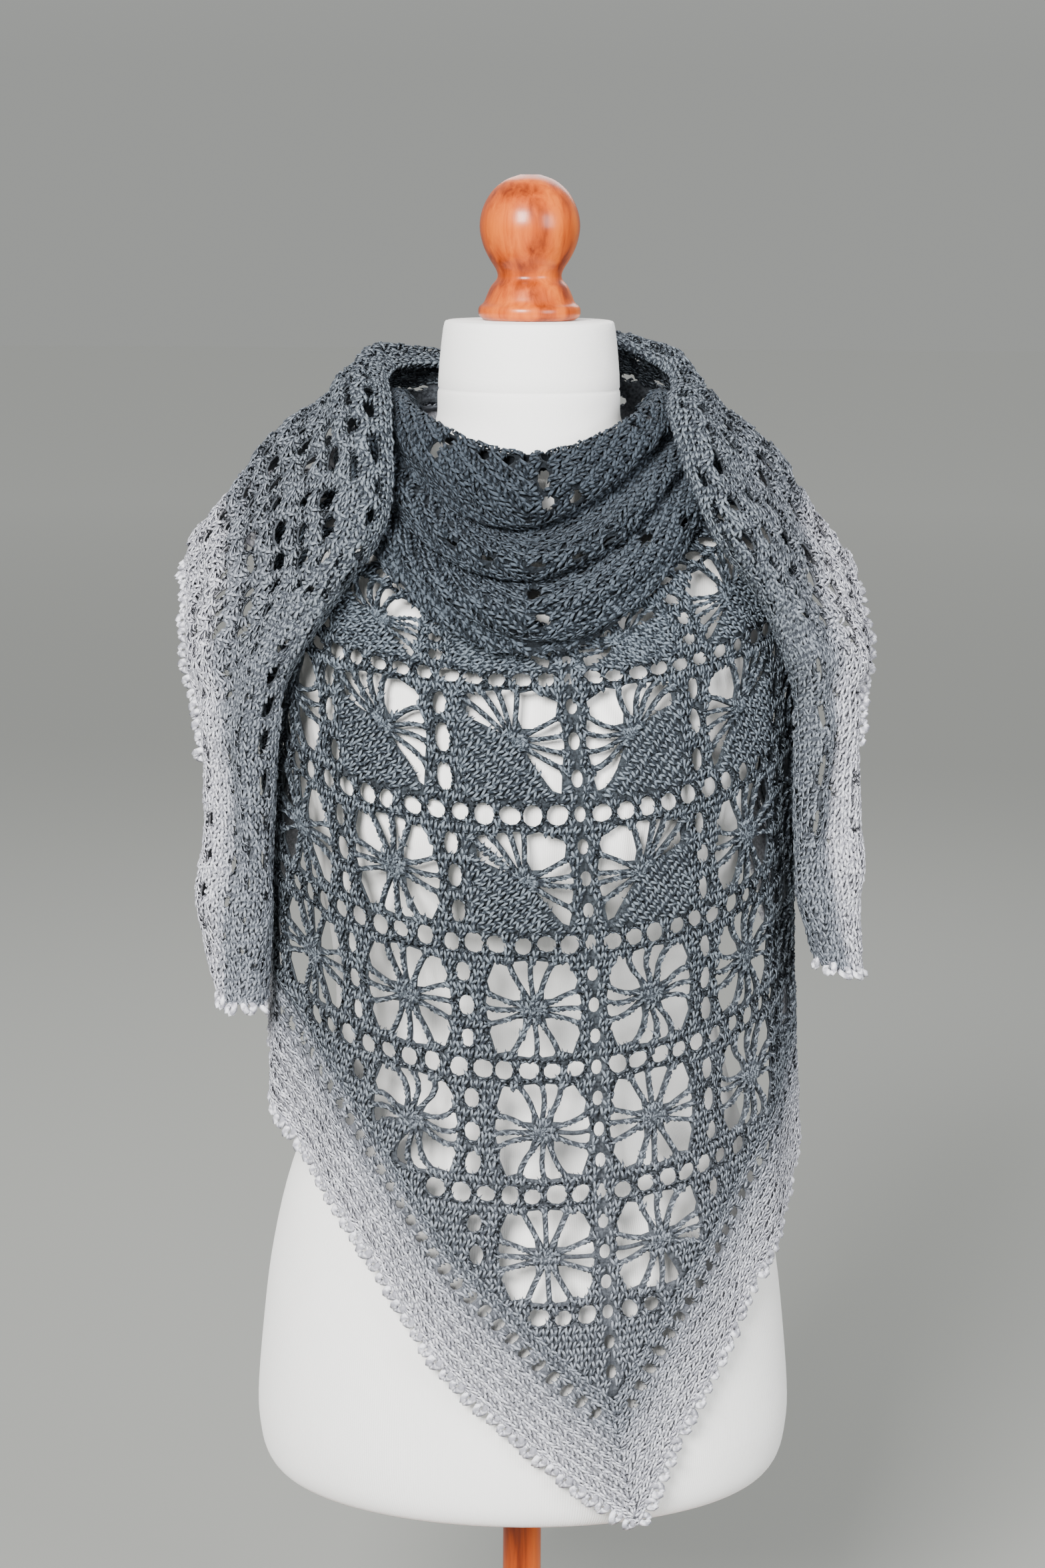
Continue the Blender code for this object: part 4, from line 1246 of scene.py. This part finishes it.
def buildEdging(side, name, edging, hem):
    # rows along the hem, a row of small gaps near the seam, and picots
    shade = panelShade(side)
    up, spacing, size = front["edgeOvals"]
    at, ways = walk(shellPoint, hem - (0, up), spacing)
    leans = np.degrees(np.arctan2(ways[:, 1], ways[:, 0])) + front["edgeOvalLean"] * side
    ovals = [("oval", ellipse(place, size, lean)) for place, lean in zip(at, leans)]
    ovals = [gap for _, gap in fitting(ovals, edging)]
    chart, triangles = cutSheet(edging, ovals, front["gridStep"])
    sheet, area = clothSheet(name + "_cloth", shellPoint, -1, chart, triangles, shade)
    found = []
    for row in range(front["borderRows"]):
        up = front["borderRise"] + row * front["borderRowStep"] + front["borderPairing"] * (row % 2)
        at, ways = walk(shellPoint, hem - (0, up), front["borderStitchStep"], rowPhase(row))
        found.append(np.concatenate([at, ways, np.full((len(at), 1), row)], 1))
    found = np.concatenate(found)
    found = found[Gaps([edging] + ovals).inside(found[:, :2])]
    found = found[Gaps(ovals).clear(found[:, :2], front["borderClear"])]
    slope = found[:, 2:4] / np.linalg.norm(found[:, 2:4], axis=1, keepdims=True)
    ways = slope * rowSign(found[:, 4:])
    made = stitchField(name + "_stitches", shellPoint, -1, found[:, :2], ways, shade, 21 + side)
    at, ways = walk(shellPoint, hem, front["picotStep"])
    slope = ways / np.linalg.norm(ways, axis=1, keepdims=True)
    ways = np.stack([-slope[:, 1], slope[:, 0]], 1) * side
    picots = stitchField(
        name + "_picots", shellPoint, -1, at, ways, shade, 31 + side,
        lift=0.0, shape=picotStitch, size=front["picotSize"],
    )
    hemYarn = yarnPaths(name + "_hem", shellPoint, -1, [hem[2:-2]], "strand", shade, lift=0.0)
    flat = (cloth["borderDrop"], lengthOf(shellPoint, hem))
    keep(name, "pale_wool", sheet, [made, picots, hemYarn], area, flat)


def buildFront(side, word):
    lacePanel, edging, hem = panelOutlines(side)
    buildPanel(side, f"shawl_front_{word}", lacePanel)
    buildEdging(side, f"shawl_edging_{word}", edging, hem)


# Cowl: rows parallel to the neck edge, in soft folds

cowl = {
    "rowStep": 0.0055,
    "stitchStep": 0.0050,
    "stitchSize": (0.0055, 0.0041, 0.0072),
    "flat": np.array([0.12, 0.020]),     # metres for a radian and for a row, near enough
    "gridStep": 0.0055,
    "firstRow": 0.002,
    "clear": 0.0010,
    "eyeletLean": 12,
    "slope": 0.068,                      # metres that a line of stitches climbs for each radian
    # row, angles round the neck, size
    "eyelets": (
        (1.22, (-0.60, -0.33, -0.15), (0.0120, 0.0066)),
        (1.05, (-0.02, 0.13), (0.0095, 0.0090)),
        (1.62, (0.10, -0.66), (0.0100, 0.0095)),
        (2.20, (0.12, 0.30), (0.0105, 0.0080)),
        (1.30, (0.86, 1.02), (0.0070, 0.0075)),
        (2.20, (0.80, 0.95), (0.0070, 0.0070)),
        (4.20, (-0.40, -0.22, 0.05, 0.26, 0.44, 0.80), (0.0105, 0.0062)),
        (5.30, (-0.86, 0.03, 0.66), (0.0095, 0.0075)),
        (6.10, (-0.96, -0.80, 0.06, 0.86), (0.0100, 0.0075)),
        (6.95, (-0.62, 0.04, 0.56), (0.0095, 0.0072)),
    ),
}


def buildCowl():
    last = len(cowlRows) - 1
    outline = np.concatenate([
        alongLine(-cowlReach, cowlReach, 0.0, 60)[:-1],
        overLine(cowlReach, 0, last, 31)[:-1],
        alongLine(cowlReach, -cowlReach, last, 60)[:-1],
        overLine(-cowlReach, last, 0, 31)[:-1],
    ])
    flat = cowl["flat"]
    holes = []
    for row, angles, size in cowl["eyelets"]:
        for angle in angles:
            lean = cowl["eyeletLean"] * np.sign(angle)
            holes.append(ellipse((angle * flat[0], row * flat[1]), size, lean, 9))
    chart, triangles = cutSheet(outline * flat, holes, cowl["gridStep"])
    sheet, area = clothSheet("shawl_cowl_cloth", cowlPoint, -1, chart / flat, triangles, cowlShade)
    edge = Gaps(holes)
    rows = np.linspace(0, last, 400)
    fall = cowlPoint(np.stack([np.zeros(400), rows], 1))
    run = runAlong(fall)
    found = []
    slope = cowl["slope"]
    step = cowl["rowStep"] * math.hypot(1, slope / flat[0])
    angles = np.linspace(0, cowlReach, 200)
    for row, fallen in enumerate(np.arange(cowl["firstRow"], run[-1] + slope * cowlReach, step)):
        fall = fallen - slope * angles
        onCloth = (fall >= 0) & (fall <= run[-1])
        if onCloth.sum() < 4:
            continue
        for half in (-1, 1):
            line = np.stack([half * angles, np.interp(fall, run, rows)], 1)[onCloth]
            places, ways = walk(cowlPoint, line, cowl["stitchStep"], rowPhase(row))
            found.append(np.concatenate([places, ways * rowSign(row)], 1))
    found = np.concatenate(found)
    near = found[:, :2] * flat
    found = found[~edge.inside(near) & edge.clear(near, cowl["clear"])]
    places, ways = found[:, :2], found[:, 2:]
    made = stitchField(
        "shawl_cowl_stitches", cowlPoint, -1, places, ways, cowlShade, 41, size=cowl["stitchSize"],
    )
    rim = alongLine(-cowlReach, cowlReach, 0.0, 120)
    hem = alongLine(-cowlReach, cowlReach, last - 0.02, 120)
    edges = yarnPaths("shawl_cowl_edges", cowlPoint, -1, [rim, hem], "strand", cowlShade, lift=0.0)
    keep("shawl_cowl", "dark_wool", sheet, [made, edges], area, (lengthOf(cowlPoint, hem), run[-1]))


# Wraps: gathered lace over the shoulders, and the tails that hang in front

wrap = {
    "flat": np.array([0.06, 0.16]),      # metres for a section and for the way over, near enough
    "lines": 52,
    "across": 0.0036,
    "along": 0.0052,
    "stitchSize": (0.0051, 0.0036, 0.0071),
    "seam": 0.003,
    "gapEvery": {-1: (0.0190, 0.0145), 1: (0.0200, 0.0175)},
    "gapSize": {-1: (0.0150, 0.0086), 1: (0.0155, 0.0120)},
    "gapRows": (0.10, 0.77),             # shares of the way over between which the rows of gaps lie
    "gapsFrom": 2.0,                     # section where the gaps begin
    "gapRoom": 0.012,
    "gapEnd": 0.010,
    "gapMissing": 0.12,                  # share of the gaps that are closed
    "gapStray": (0.002, 0.0012),
    "gapGrow": (0.6, 1.15),
    "gapLean": 9,
    "ropesFrom": 1.6,
    "clear": 0.0009,
    "rimGrow": 1.15,
    "picotsFrom": 0.6,
    "liningReach": (3.2, 0.45),          # section, and share of the way over, up to which the inside is seen
    # the inside is painted darker than the outside, as painted shade
    "liningPaintedShade": 0.8,
    "liningLift": 0.0008,
    "frill": (4.0, 8.4),                 # sections over which the picot edge stands out at the side
    "frillRise": 2.5,
    "picotRise": 0.8,
    "tailFade": {-1: 0.42, 1: 0.16},
    "ropeWave": 0.20,
    "ropeEnd": 0.004,
    "ropeStep": 0.0046,
    "ropeLift": 0.0014,
    "ropeSize": (0.0056, 0.0044, 0.0072),
    "gridStep": 0.0080,
}


# tails: rows of gaps, each with its share of the way over, shift along, size and points
tails = {
    -1: {
        "room": (0.012, 0.03), "step": 0.021, "lean": 10, "grow": (0.7, 1.15),
        "gaps": (
            (0.20, 0.0, (0.012, 0.008), 10), (0.33, 0.010, (0.013, 0.009), 10),
            (0.46, 0.0, (0.010, 0.007), 10), (0.60, 0.010, (0.009, 0.006), 10),
            (0.74, 0.0, (0.010, 0.006), 10), (0.86, 0.010, (0.008, 0.005), 10),
        ),
    },
    1: {
        "room": (0.03, 0.10), "step": 0.033, "lean": 6, "grow": None,
        "gaps": (
            (0.42, 0.0, (0.019, 0.009), 12), (0.60, 0.014, (0.010, 0.006), 10),
            (0.76, 0.004, (0.010, 0.006), 10),
        ),
    },
}
tailEyelets = {"share": 0.16, "room": (0.008, 0.02), "step": 0.0105, "size": (0.0050, 0.0038)}


def shoulderGaps(side, begin, end):
    wide, over = wrap["flat"]
    stepX, stepY = wrap["gapEvery"][side]
    low, high = wrap["gapRows"]
    strayX, strayY = wrap["gapStray"]
    first = max(begin, wrap["gapsFrom"]) * wide + wrap["gapRoom"]
    random = np.random.default_rng(50 + side)
    holes = []
    for row, y in enumerate(np.arange(low * over, high * over, stepY)):
        for x in np.arange(first, end * wide - wrap["gapRoom"], stepX):
            if random.uniform() < wrap["gapMissing"]:
                continue
            place = (x + stepX * 0.5 * (row % 2) + random.normal(0, strayX), y + random.normal(0, strayY))
            if place[0] > end * wide - wrap["gapEnd"]:
                continue
            size = np.array(wrap["gapSize"][side]) * random.uniform(*wrap["gapGrow"], 2)
            holes.append(ellipse(place, size, random.normal(0, wrap["gapLean"]), 9))
    return holes


def tailGaps(side, begin, end):
    wide, over = wrap["flat"]
    tail = tails[side]
    random = np.random.default_rng(50 + side)
    holes = []
    for x in np.arange(begin * wide + tail["room"][0], end * wide - tail["room"][1], tail["step"]):
        for share, shift, size, points in tail["gaps"]:
            if tail["grow"]:
                size = np.array(size) * random.uniform(*tail["grow"])
            holes.append(ellipse((x + shift, share * over), size, random.normal(0, tail["lean"]), points))
    if side > 0:
        first, last = tailEyelets["room"]
        for x in np.arange(begin * wide + first, end * wide - last, tailEyelets["step"]):
            holes.append(ellipse((x, tailEyelets["share"] * over), tailEyelets["size"], 0, 8))
    return holes


def frillLine(surface, begin, end):
    # the line along which a wrap stands furthest out to the side
    along = np.linspace(begin, end, 80)
    share = np.linspace(0.4, 1, 61)
    chart = np.stack(np.meshgrid(along, share, indexing="ij"), -1).reshape(-1, 2)
    widest = np.abs(surface(chart)[:, 0]).reshape(80, 61).argmax(1)
    smooth = np.convolve(np.pad(share[widest], 6, mode="edge"), np.full(13, 1 / 13), mode="valid")
    return np.stack([along, smooth], 1)


def stretchStitches(surface, begin, end, outline, holes):
    # lines of stitches along the wrap; where it is gathered, only every second or third line is kept
    flat = wrap["flat"]
    found = []
    for index in range(wrap["lines"]):
        share = (index + 0.5) / wrap["lines"]
        places, _ = walk(surface, alongLine(begin, end, share, 160), wrap["along"], rowPhase(index))
        step = (0, 0.5 / wrap["lines"])
        width = np.linalg.norm(surface(places + step) - surface(places - step), axis=1)
        every = np.maximum(1, np.round(wrap["across"] / np.maximum(width, 1e-5)))
        places = places[index % every == 0]
        found.append(np.concatenate([places, np.full((len(places), 1), index)], 1))
    found = np.concatenate(found)
    near = found[:, :2] * flat
    return found[Gaps([outline] + holes).inside(near) & Gaps(holes).clear(near, wrap["clear"])]


def ropeField(side, name, surface, shade, begin, end):
    # thick ropes that wave between the rows of gaps
    wide, over = wrap["flat"]
    stepX, stepY = wrap["gapEvery"][side]
    low, high = wrap["gapRows"]
    ropes = []
    for row, y in enumerate(np.arange(low * over, high * over, stepY)):
        x = np.linspace(max(begin, wrap["ropesFrom"]) * wide, end * wide - wrap["ropeEnd"], 400)
        wave = np.cos(2 * math.pi * (x / stepX + 0.5 * (row % 2)) + 0.5 * np.sin(x * 40 + row))
        line = np.stack([x, y + stepY * (0.5 + wrap["ropeWave"] * wave)], 1) / wrap["flat"]
        ropes.append(np.concatenate(walk(surface, line, wrap["ropeStep"]), 1))
    ropes = np.concatenate(ropes)
    return stitchField(
        name + "_ropes", surface, side, ropes[:, :2], ropes[:, 2:], shade, 81 + side,
        lift=wrap["ropeLift"], size=wrap["ropeSize"],
    )


def liningField(side, name, surface, shade, found):
    # the inside of the cloth, where it can be seen behind the neck; its stitches are painted darker, as
    # painted shade on the inside
    reach, over = wrap["liningReach"]
    inner = found[(found[:, 0] < reach) & (found[:, 1] < over), :2]
    ways = np.tile([1.0, 0.0], (len(inner), 1))
    return stitchField(
        name + "_lining", surface, -side, inner, ways,
        lambda chart: wrap["liningPaintedShade"] * shade(chart), 85 + side,
        lift=-2 * sheetWall["outside"] + wrap["liningLift"],
    )


def picotField(side, name, surface, begin, end):
    # picots along the outer edge, along the line that stands furthest out, and round the end of a tail
    frill = frillLine(surface, max(begin, wrap["frill"][0]), min(end, wrap["frill"][1]))
    lines = [
        (alongLine(max(begin, wrap["picotsFrom"]), end, 1.0, 160), (0.0, 1.0), wrap["picotRise"]),
        (frill, (0.0, 1.0), wrap["frillRise"]),
    ]
    if end > joinSection:
        lines.append((overLine(end, 0, 1, 60), (1.0, 0.0), wrap["picotRise"]))
    places = [walk(surface, line, front["picotStep"])[0] for line, _, _ in lines]
    ways = [np.tile(way, (len(found), 1)) for found, (_, way, _) in zip(places, lines)]
    rise = [np.full((len(found), 1), height) for found, (_, _, height) in zip(places, lines)]
    return stitchField(
        name + "_picots", surface, side, np.concatenate(places), np.concatenate(ways),
        lambda chart: np.full(len(chart), shades["palest"]), 71 + side,
        lift=0.0, shape=picotStitch, size=front["picotSize"], rise=np.concatenate(rise),
    )


def buildStretch(side, name, begin, end):
    def surface(chart):
        return wrapPoint(side, chart)

    shade = wrapShade(side)
    flat = wrap["flat"]
    isTail = end > joinSection
    along = alongLine(begin, end, 0.0, int((end - begin) * 8) + 1)
    over = overLine(end, 0, 1, 25)
    outline = np.concatenate([
        along[:-1], over[:-1], along[::-1][:-1] + (0, 1), over[::-1][:-1] * (0, 1) + (begin, 0),
    ]) * flat
    holes = (tailGaps if isTail else shoulderGaps)(side, begin, end)
    chart, triangles = cutSheet(outline, holes, wrap["gridStep"])
    sheet, area = clothSheet(name + "_cloth", surface, side, chart / flat, triangles, shade)
    found = stretchStitches(surface, begin, end, outline, holes)
    lean = rowSign(found[:, 2]) * stitches["lean"] * flat[0] / flat[1]
    ways = np.stack([np.ones(len(found)), lean], 1)
    made = stitchField(
        name + "_stitches", surface, side, found[:, :2], ways, shade, 61 + side, size=wrap["stitchSize"],
    )
    others = []
    edges = [alongLine(begin, end, share, 120) for share in (0.004, 0.996)]
    length = max(lengthOf(surface, edge) for edge in edges)
    if isTail:
        edges.append(overLine(end - 0.02, 0, 1, 30))
    else:
        others.append(ropeField(side, name, surface, shade, begin, end))
        others.append(liningField(side, name, surface, shade, found))
    rims = [ringRound(hole, wrap["rimGrow"]) / flat for hole in holes]
    rimYarn = yarnPaths(name + "_rims", surface, side, rims, "rim", shade)
    edgeYarn = yarnPaths(name + "_edges", surface, side, edges, "strand", shade, lift=0.0)
    others += [made, rimYarn, edgeYarn, picotField(side, name, surface, begin, end)]
    width = max(lengthOf(surface, overLine(at, 0, 1, 60)) for at in (begin, (begin + end) / 2, end))
    keep(name, "grey_wool", sheet, others, area, (width, length))


buildCowl()
for side, word in ((-1, "left"), (1, "right")):
    buildFront(side, word)
    buildStretch(side, f"shawl_shoulder_{word}", 2 * wrap["seam"], joinSection - wrap["seam"])
    buildStretch(side, f"shawl_tail_{word}", joinSection + wrap["seam"], lastSection)
for thing in (veeStitch, picotStitch):
    bpy.data.objects.remove(thing)
report("cloth")


# Dress form: jersey torso, turned finial, pole and base

form = {
    "bust": (0.075, 0.465, 0.0262, 0.055),      # spread, height, depth, size
    "underCloth": 0.0014,                       # slimmer than the solid, so no facet of cloth sinks in
    "neckSeam": (0.727, 0.0011, 0.0007),        # height, half width and depth of the seam round the neck
    "sides": 96,
    "steps": 4,
    "seamSteps": (-0.08, -0.04, 0.0, 0.025, 0.05),
    "slimTo": (0.74, 0.03),                     # height where the slimming ends, and over how much it fades
    "turnedSides": 64,
    "finialHeight": 0.091,
    "finialRadius": 0.032,
    "faceGap": 0.0003,
    "poleRadius": 0.013,
    "baseHeight": 0.025,
    "waleWidth": 0.0011,                        # one column of the jersey's loops
    "courseHeight": 0.0008,
}

# front height, side height, half width, front depth, back depth
torsoRows = np.array((
    (0.000, 0.000, 0.150, 0.100, 0.095),
    (0.004, 0.004, 0.165, 0.112, 0.107),
    (0.014, 0.014, 0.174, 0.119, 0.114),
    (0.030, 0.030, 0.1785, 0.122, 0.117),
    (0.055, 0.055, 0.180, 0.123, 0.119),
    (0.100, 0.100, 0.1765, 0.122, 0.119),
    (0.150, 0.150, 0.1705, 0.118, 0.116),
    (0.200, 0.200, 0.160, 0.111, 0.111),
    (0.250, 0.250, 0.144, 0.102, 0.101),
    (0.300, 0.300, 0.130, 0.094, 0.090),
    (0.330, 0.330, 0.126, 0.091, 0.086),
    (0.370, 0.370, 0.129, 0.095, 0.088),
    (0.410, 0.410, 0.1365, 0.103, 0.094),
    (0.450, 0.450, 0.145, 0.109, 0.100),
    (0.490, 0.490, 0.152, 0.112, 0.106),
    (0.530, 0.530, 0.158, 0.110, 0.110),
    (0.570, 0.570, 0.164, 0.103, 0.110),
    (0.605, 0.612, 0.168, 0.093, 0.106),
    (0.632, 0.636, 0.164, 0.082, 0.098),
    (0.655, 0.658, 0.143, 0.072, 0.087),
    (0.675, 0.677, 0.103, 0.064, 0.074),
    (0.690, 0.691, 0.074, 0.060, 0.064),
    (0.705, 0.706, 0.061, 0.058, 0.059),
    (0.727, 0.727, 0.0585, 0.0565, 0.0565),
    (0.765, 0.765, 0.0545, 0.053, 0.053),
    (0.770, 0.770, 0.0515, 0.050, 0.050),
))

# finial: share of the height, share of the radius
finialRows = np.array((
    (0.000, 0.90), (0.030, 1.00), (0.085, 1.00), (0.120, 0.90), (0.170, 0.84), (0.230, 0.76),
    (0.285, 0.64), (0.340, 0.66), (0.420, 0.80), (0.520, 0.93), (0.640, 0.99), (0.760, 0.93),
    (0.870, 0.76), (0.950, 0.50), (0.990, 0.20),
))
baseRows = np.array((
    (0.0, 0.146), (0.0008, 0.149), (0.003, 0.1498), (0.008, 0.1498), (0.0092, 0.1482), (0.0104, 0.1498),
    (0.0190, 0.1498), (0.0215, 0.1490), (0.0235, 0.1468), (0.0246, 0.1436), (0.0250, 0.140), (0.0250, 0.060),
    (0.0250, 0.034), (0.0250, 0.0135),
))


def torsoPoint(angle, row):
    front, side, halfWidth, frontDepth, backDepth = smoothRows(range(len(torsoRows)), torsoRows, row).T
    sin, cos = np.sin(angle), np.cos(angle)
    x = halfWidth * sin
    z = front + (side - front) * sin ** 2
    y = -np.where(cos > 0, frontDepth, backDepth) * cos
    spread, height, depth, size = form["bust"]
    for place in (-spread, spread):
        away = (x - place) ** 2 + (z - height) ** 2
        y -= depth * np.exp(-away / (2 * size ** 2)) * np.sqrt(np.clip(cos, 0, 1))
    seam, width, deep = form["neckSeam"]
    top, fade = form["slimTo"]
    slim = form["underCloth"] * np.clip((top - z) / fade, 0, 1) + deep * np.exp(-((z - seam) / width) ** 2)
    radius = np.hypot(x, y)
    return np.stack([x * (1 - slim / radius), y * (1 - slim / radius), z + formLift], 1)


def ringMesh(name, rings, material):
    # closed solid through rings of points, with a UV map in metres round and up
    sides = len(rings[0])
    points = np.concatenate(rings)
    faces = []
    for row in range(len(rings) - 1):
        for side in range(sides):
            a = row * sides + side
            b = row * sides + (side + 1) % sides
            faces.append((a, b, b + sides, a + sides))
    faces.append(tuple(reversed(range(sides))))
    faces.append(tuple(range(len(points) - sides, len(points))))
    thing = meshObject(name, points, faces, material)
    mesh = thing.data
    layer = mesh.uv_layers.new(name="UVMap")
    run = runAlong([ring[0] for ring in rings])
    around = 2 * math.pi * np.mean([np.hypot(*ring[:, :2].T).mean() for ring in rings])
    for polygon in mesh.polygons:
        for corner, vertex in zip(polygon.loop_indices, polygon.vertices):
            side = vertex % sides
            last = (sides - 1) in [v % sides for v in polygon.vertices]
            if len(polygon.vertices) == 4 and side == 0 and last:
                side = sides
            layer.data[corner].uv = (around * side / sides, run[vertex // sides])
    return thing


def makeJersey():
    material, tree, shader = startMaterial("whiteJersey")
    place = tree.add("ShaderNodeTexCoord")
    parts = tree.add("ShaderNodeSeparateXYZ", {0: place.outputs["UV"]}).outputs
    where = place.outputs["Object"]
    wale = tree.calc("MULTIPLY", parts[0], 2 * math.pi / form["waleWidth"])
    course = tree.calc("MULTIPLY", parts[1], 2 * math.pi / form["courseHeight"])
    loops = tree.calc("SINE", tree.calc("MULTIPLY_ADD", tree.calc("SINE", wale), 1.4, course))
    knit = tree.calc("MULTIPLY_ADD", loops, 0.5, tree.calc("COSINE", wale))
    lint = tree.first("ShaderNodeTexNoise", {"Vector": where, "Scale": 900.0, "Detail": 3.0})
    slack = tree.first("ShaderNodeTexNoise", {
        "Vector": where, "Scale": 9.0, "Detail": 3.0, "Roughness": 0.55,
    })
    # painted shade: the jersey is a little darker where the slack bump lies low, in its hollows
    colour = ramp(tree, slack, ((0.3, (0.85, 0.845, 0.83)), (0.7, (0.90, 0.895, 0.88))))
    tree.link(colour, shader.inputs["Base Color"])
    relief = tree.first("ShaderNodeBump", {"Height": slack, "Strength": 0.25, "Distance": 0.004})
    for height, strength, depth in ((lint, 0.2, 0.0004), (knit, 0.35, 0.00016)):
        relief = tree.first("ShaderNodeBump", {
            "Height": height, "Strength": strength, "Distance": depth, "Normal": relief,
        })
    tree.link(relief, shader.inputs["Normal"])
    shader.inputs["Roughness"].default_value = 0.88
    shader.inputs["Sheen Weight"].default_value = 0.2
    shader.inputs["Specular IOR Level"].default_value = 0.3
    return material


def makeWood():
    material, tree, shader = startMaterial("turnedWood")
    where = tree.add("ShaderNodeTexCoord").outputs["Object"]
    where = tree.first("ShaderNodeMapping", {"Vector": where, "Scale": (1.0, 1.0, 0.10)})
    grain = tree.first("ShaderNodeTexNoise", {
        "Vector": where, "Scale": 150.0, "Detail": 6.0, "Roughness": 0.62, "Distortion": 0.6,
    })
    rings = tree.add("ShaderNodeTexWave", {
        "Vector": where, "Scale": 17.0, "Distortion": 9.0, "Detail": 4.0, "Detail Scale": 0.6,
    }, wave_type="BANDS", bands_direction="DIAGONAL").outputs["Fac"]
    colour = ramp(tree, tree.calc("MULTIPLY_ADD", rings, 0.32, grain), (
        (0.38, (0.15, 0.018, 0.001)), (0.62, (0.36, 0.056, 0.003)), (0.88, (0.52, 0.105, 0.006)),
    ))
    tree.link(colour, shader.inputs["Base Color"])
    pores = tree.first("ShaderNodeTexNoise", {"Vector": where, "Scale": 900.0, "Detail": 2.0})
    relief = tree.first("ShaderNodeBump", {"Height": pores, "Strength": 0.12, "Distance": 0.0003})
    tree.link(relief, shader.inputs["Normal"])
    rough = tree.first("ShaderNodeMapRange", {"Value": grain, "To Min": 0.22, "To Max": 0.40})
    tree.link(rough, shader.inputs["Roughness"])
    shader.inputs["Coat Weight"].default_value = 0.08
    shader.inputs["Coat Roughness"].default_value = 0.12
    shader.inputs["Specular IOR Level"].default_value = 0.3
    return material


def turned(name, profile, material):
    # solid of revolution from rows of height and radius
    turn = np.linspace(0, 2 * math.pi, form["turnedSides"], endpoint=False)
    rings = [
        np.stack([radius * np.cos(turn), radius * np.sin(turn), np.full(len(turn), height)], 1)
        for height, radius in profile
    ]
    return ringMesh(name, rings, material)


def buildForm():
    jersey = makeJersey()
    wood = makeWood()
    turn = np.linspace(0, 2 * math.pi, form["sides"], endpoint=False)
    rows = np.linspace(0, len(torsoRows) - 1, (len(torsoRows) - 1) * form["steps"] + 1)
    seamRow = int(np.flatnonzero(torsoRows[:, 0] == form["neckSeam"][0])[0])
    rows = np.unique(np.concatenate([rows, seamRow + np.array(form["seamSteps"])]))
    rings = [torsoPoint(turn, np.full(len(turn), row)) for row in rows]
    torso = ringMesh("form_torso_jersey", rings, jersey)
    neckTop = formLift + torsoRows[-1, 0] + form["faceGap"]
    steps = np.linspace(0, len(finialRows) - 1, (len(finialRows) - 1) * form["steps"] + 1)
    shape = smoothRows(range(len(finialRows)), finialRows, steps)
    shape = shape * (form["finialHeight"], form["finialRadius"]) + (neckTop, 0)
    finial = turned("form_finial_wood", shape, wood)
    heights = np.linspace(form["baseHeight"] + form["faceGap"], formLift - form["faceGap"], 12)
    pole = turned("form_pole_wood", [(h, form["poleRadius"]) for h in heights], wood)
    base = turned("form_base_wood", baseRows, wood)
    return (
        (torso, "form_torso", "white_jersey"), (finial, "form_finial", "turned_wood"),
        (pole, "form_pole", "turned_wood"), (base, "form_base", "turned_wood"),
    )


for thing, node, slot in buildForm():
    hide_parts(node)
    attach(thing, "root")
for piece in pieces:
    sheet = piece["sheet"]
    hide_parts(piece["node"])
    for thing in [sheet] + piece["with"]:
        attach(thing, "root")
report("form")
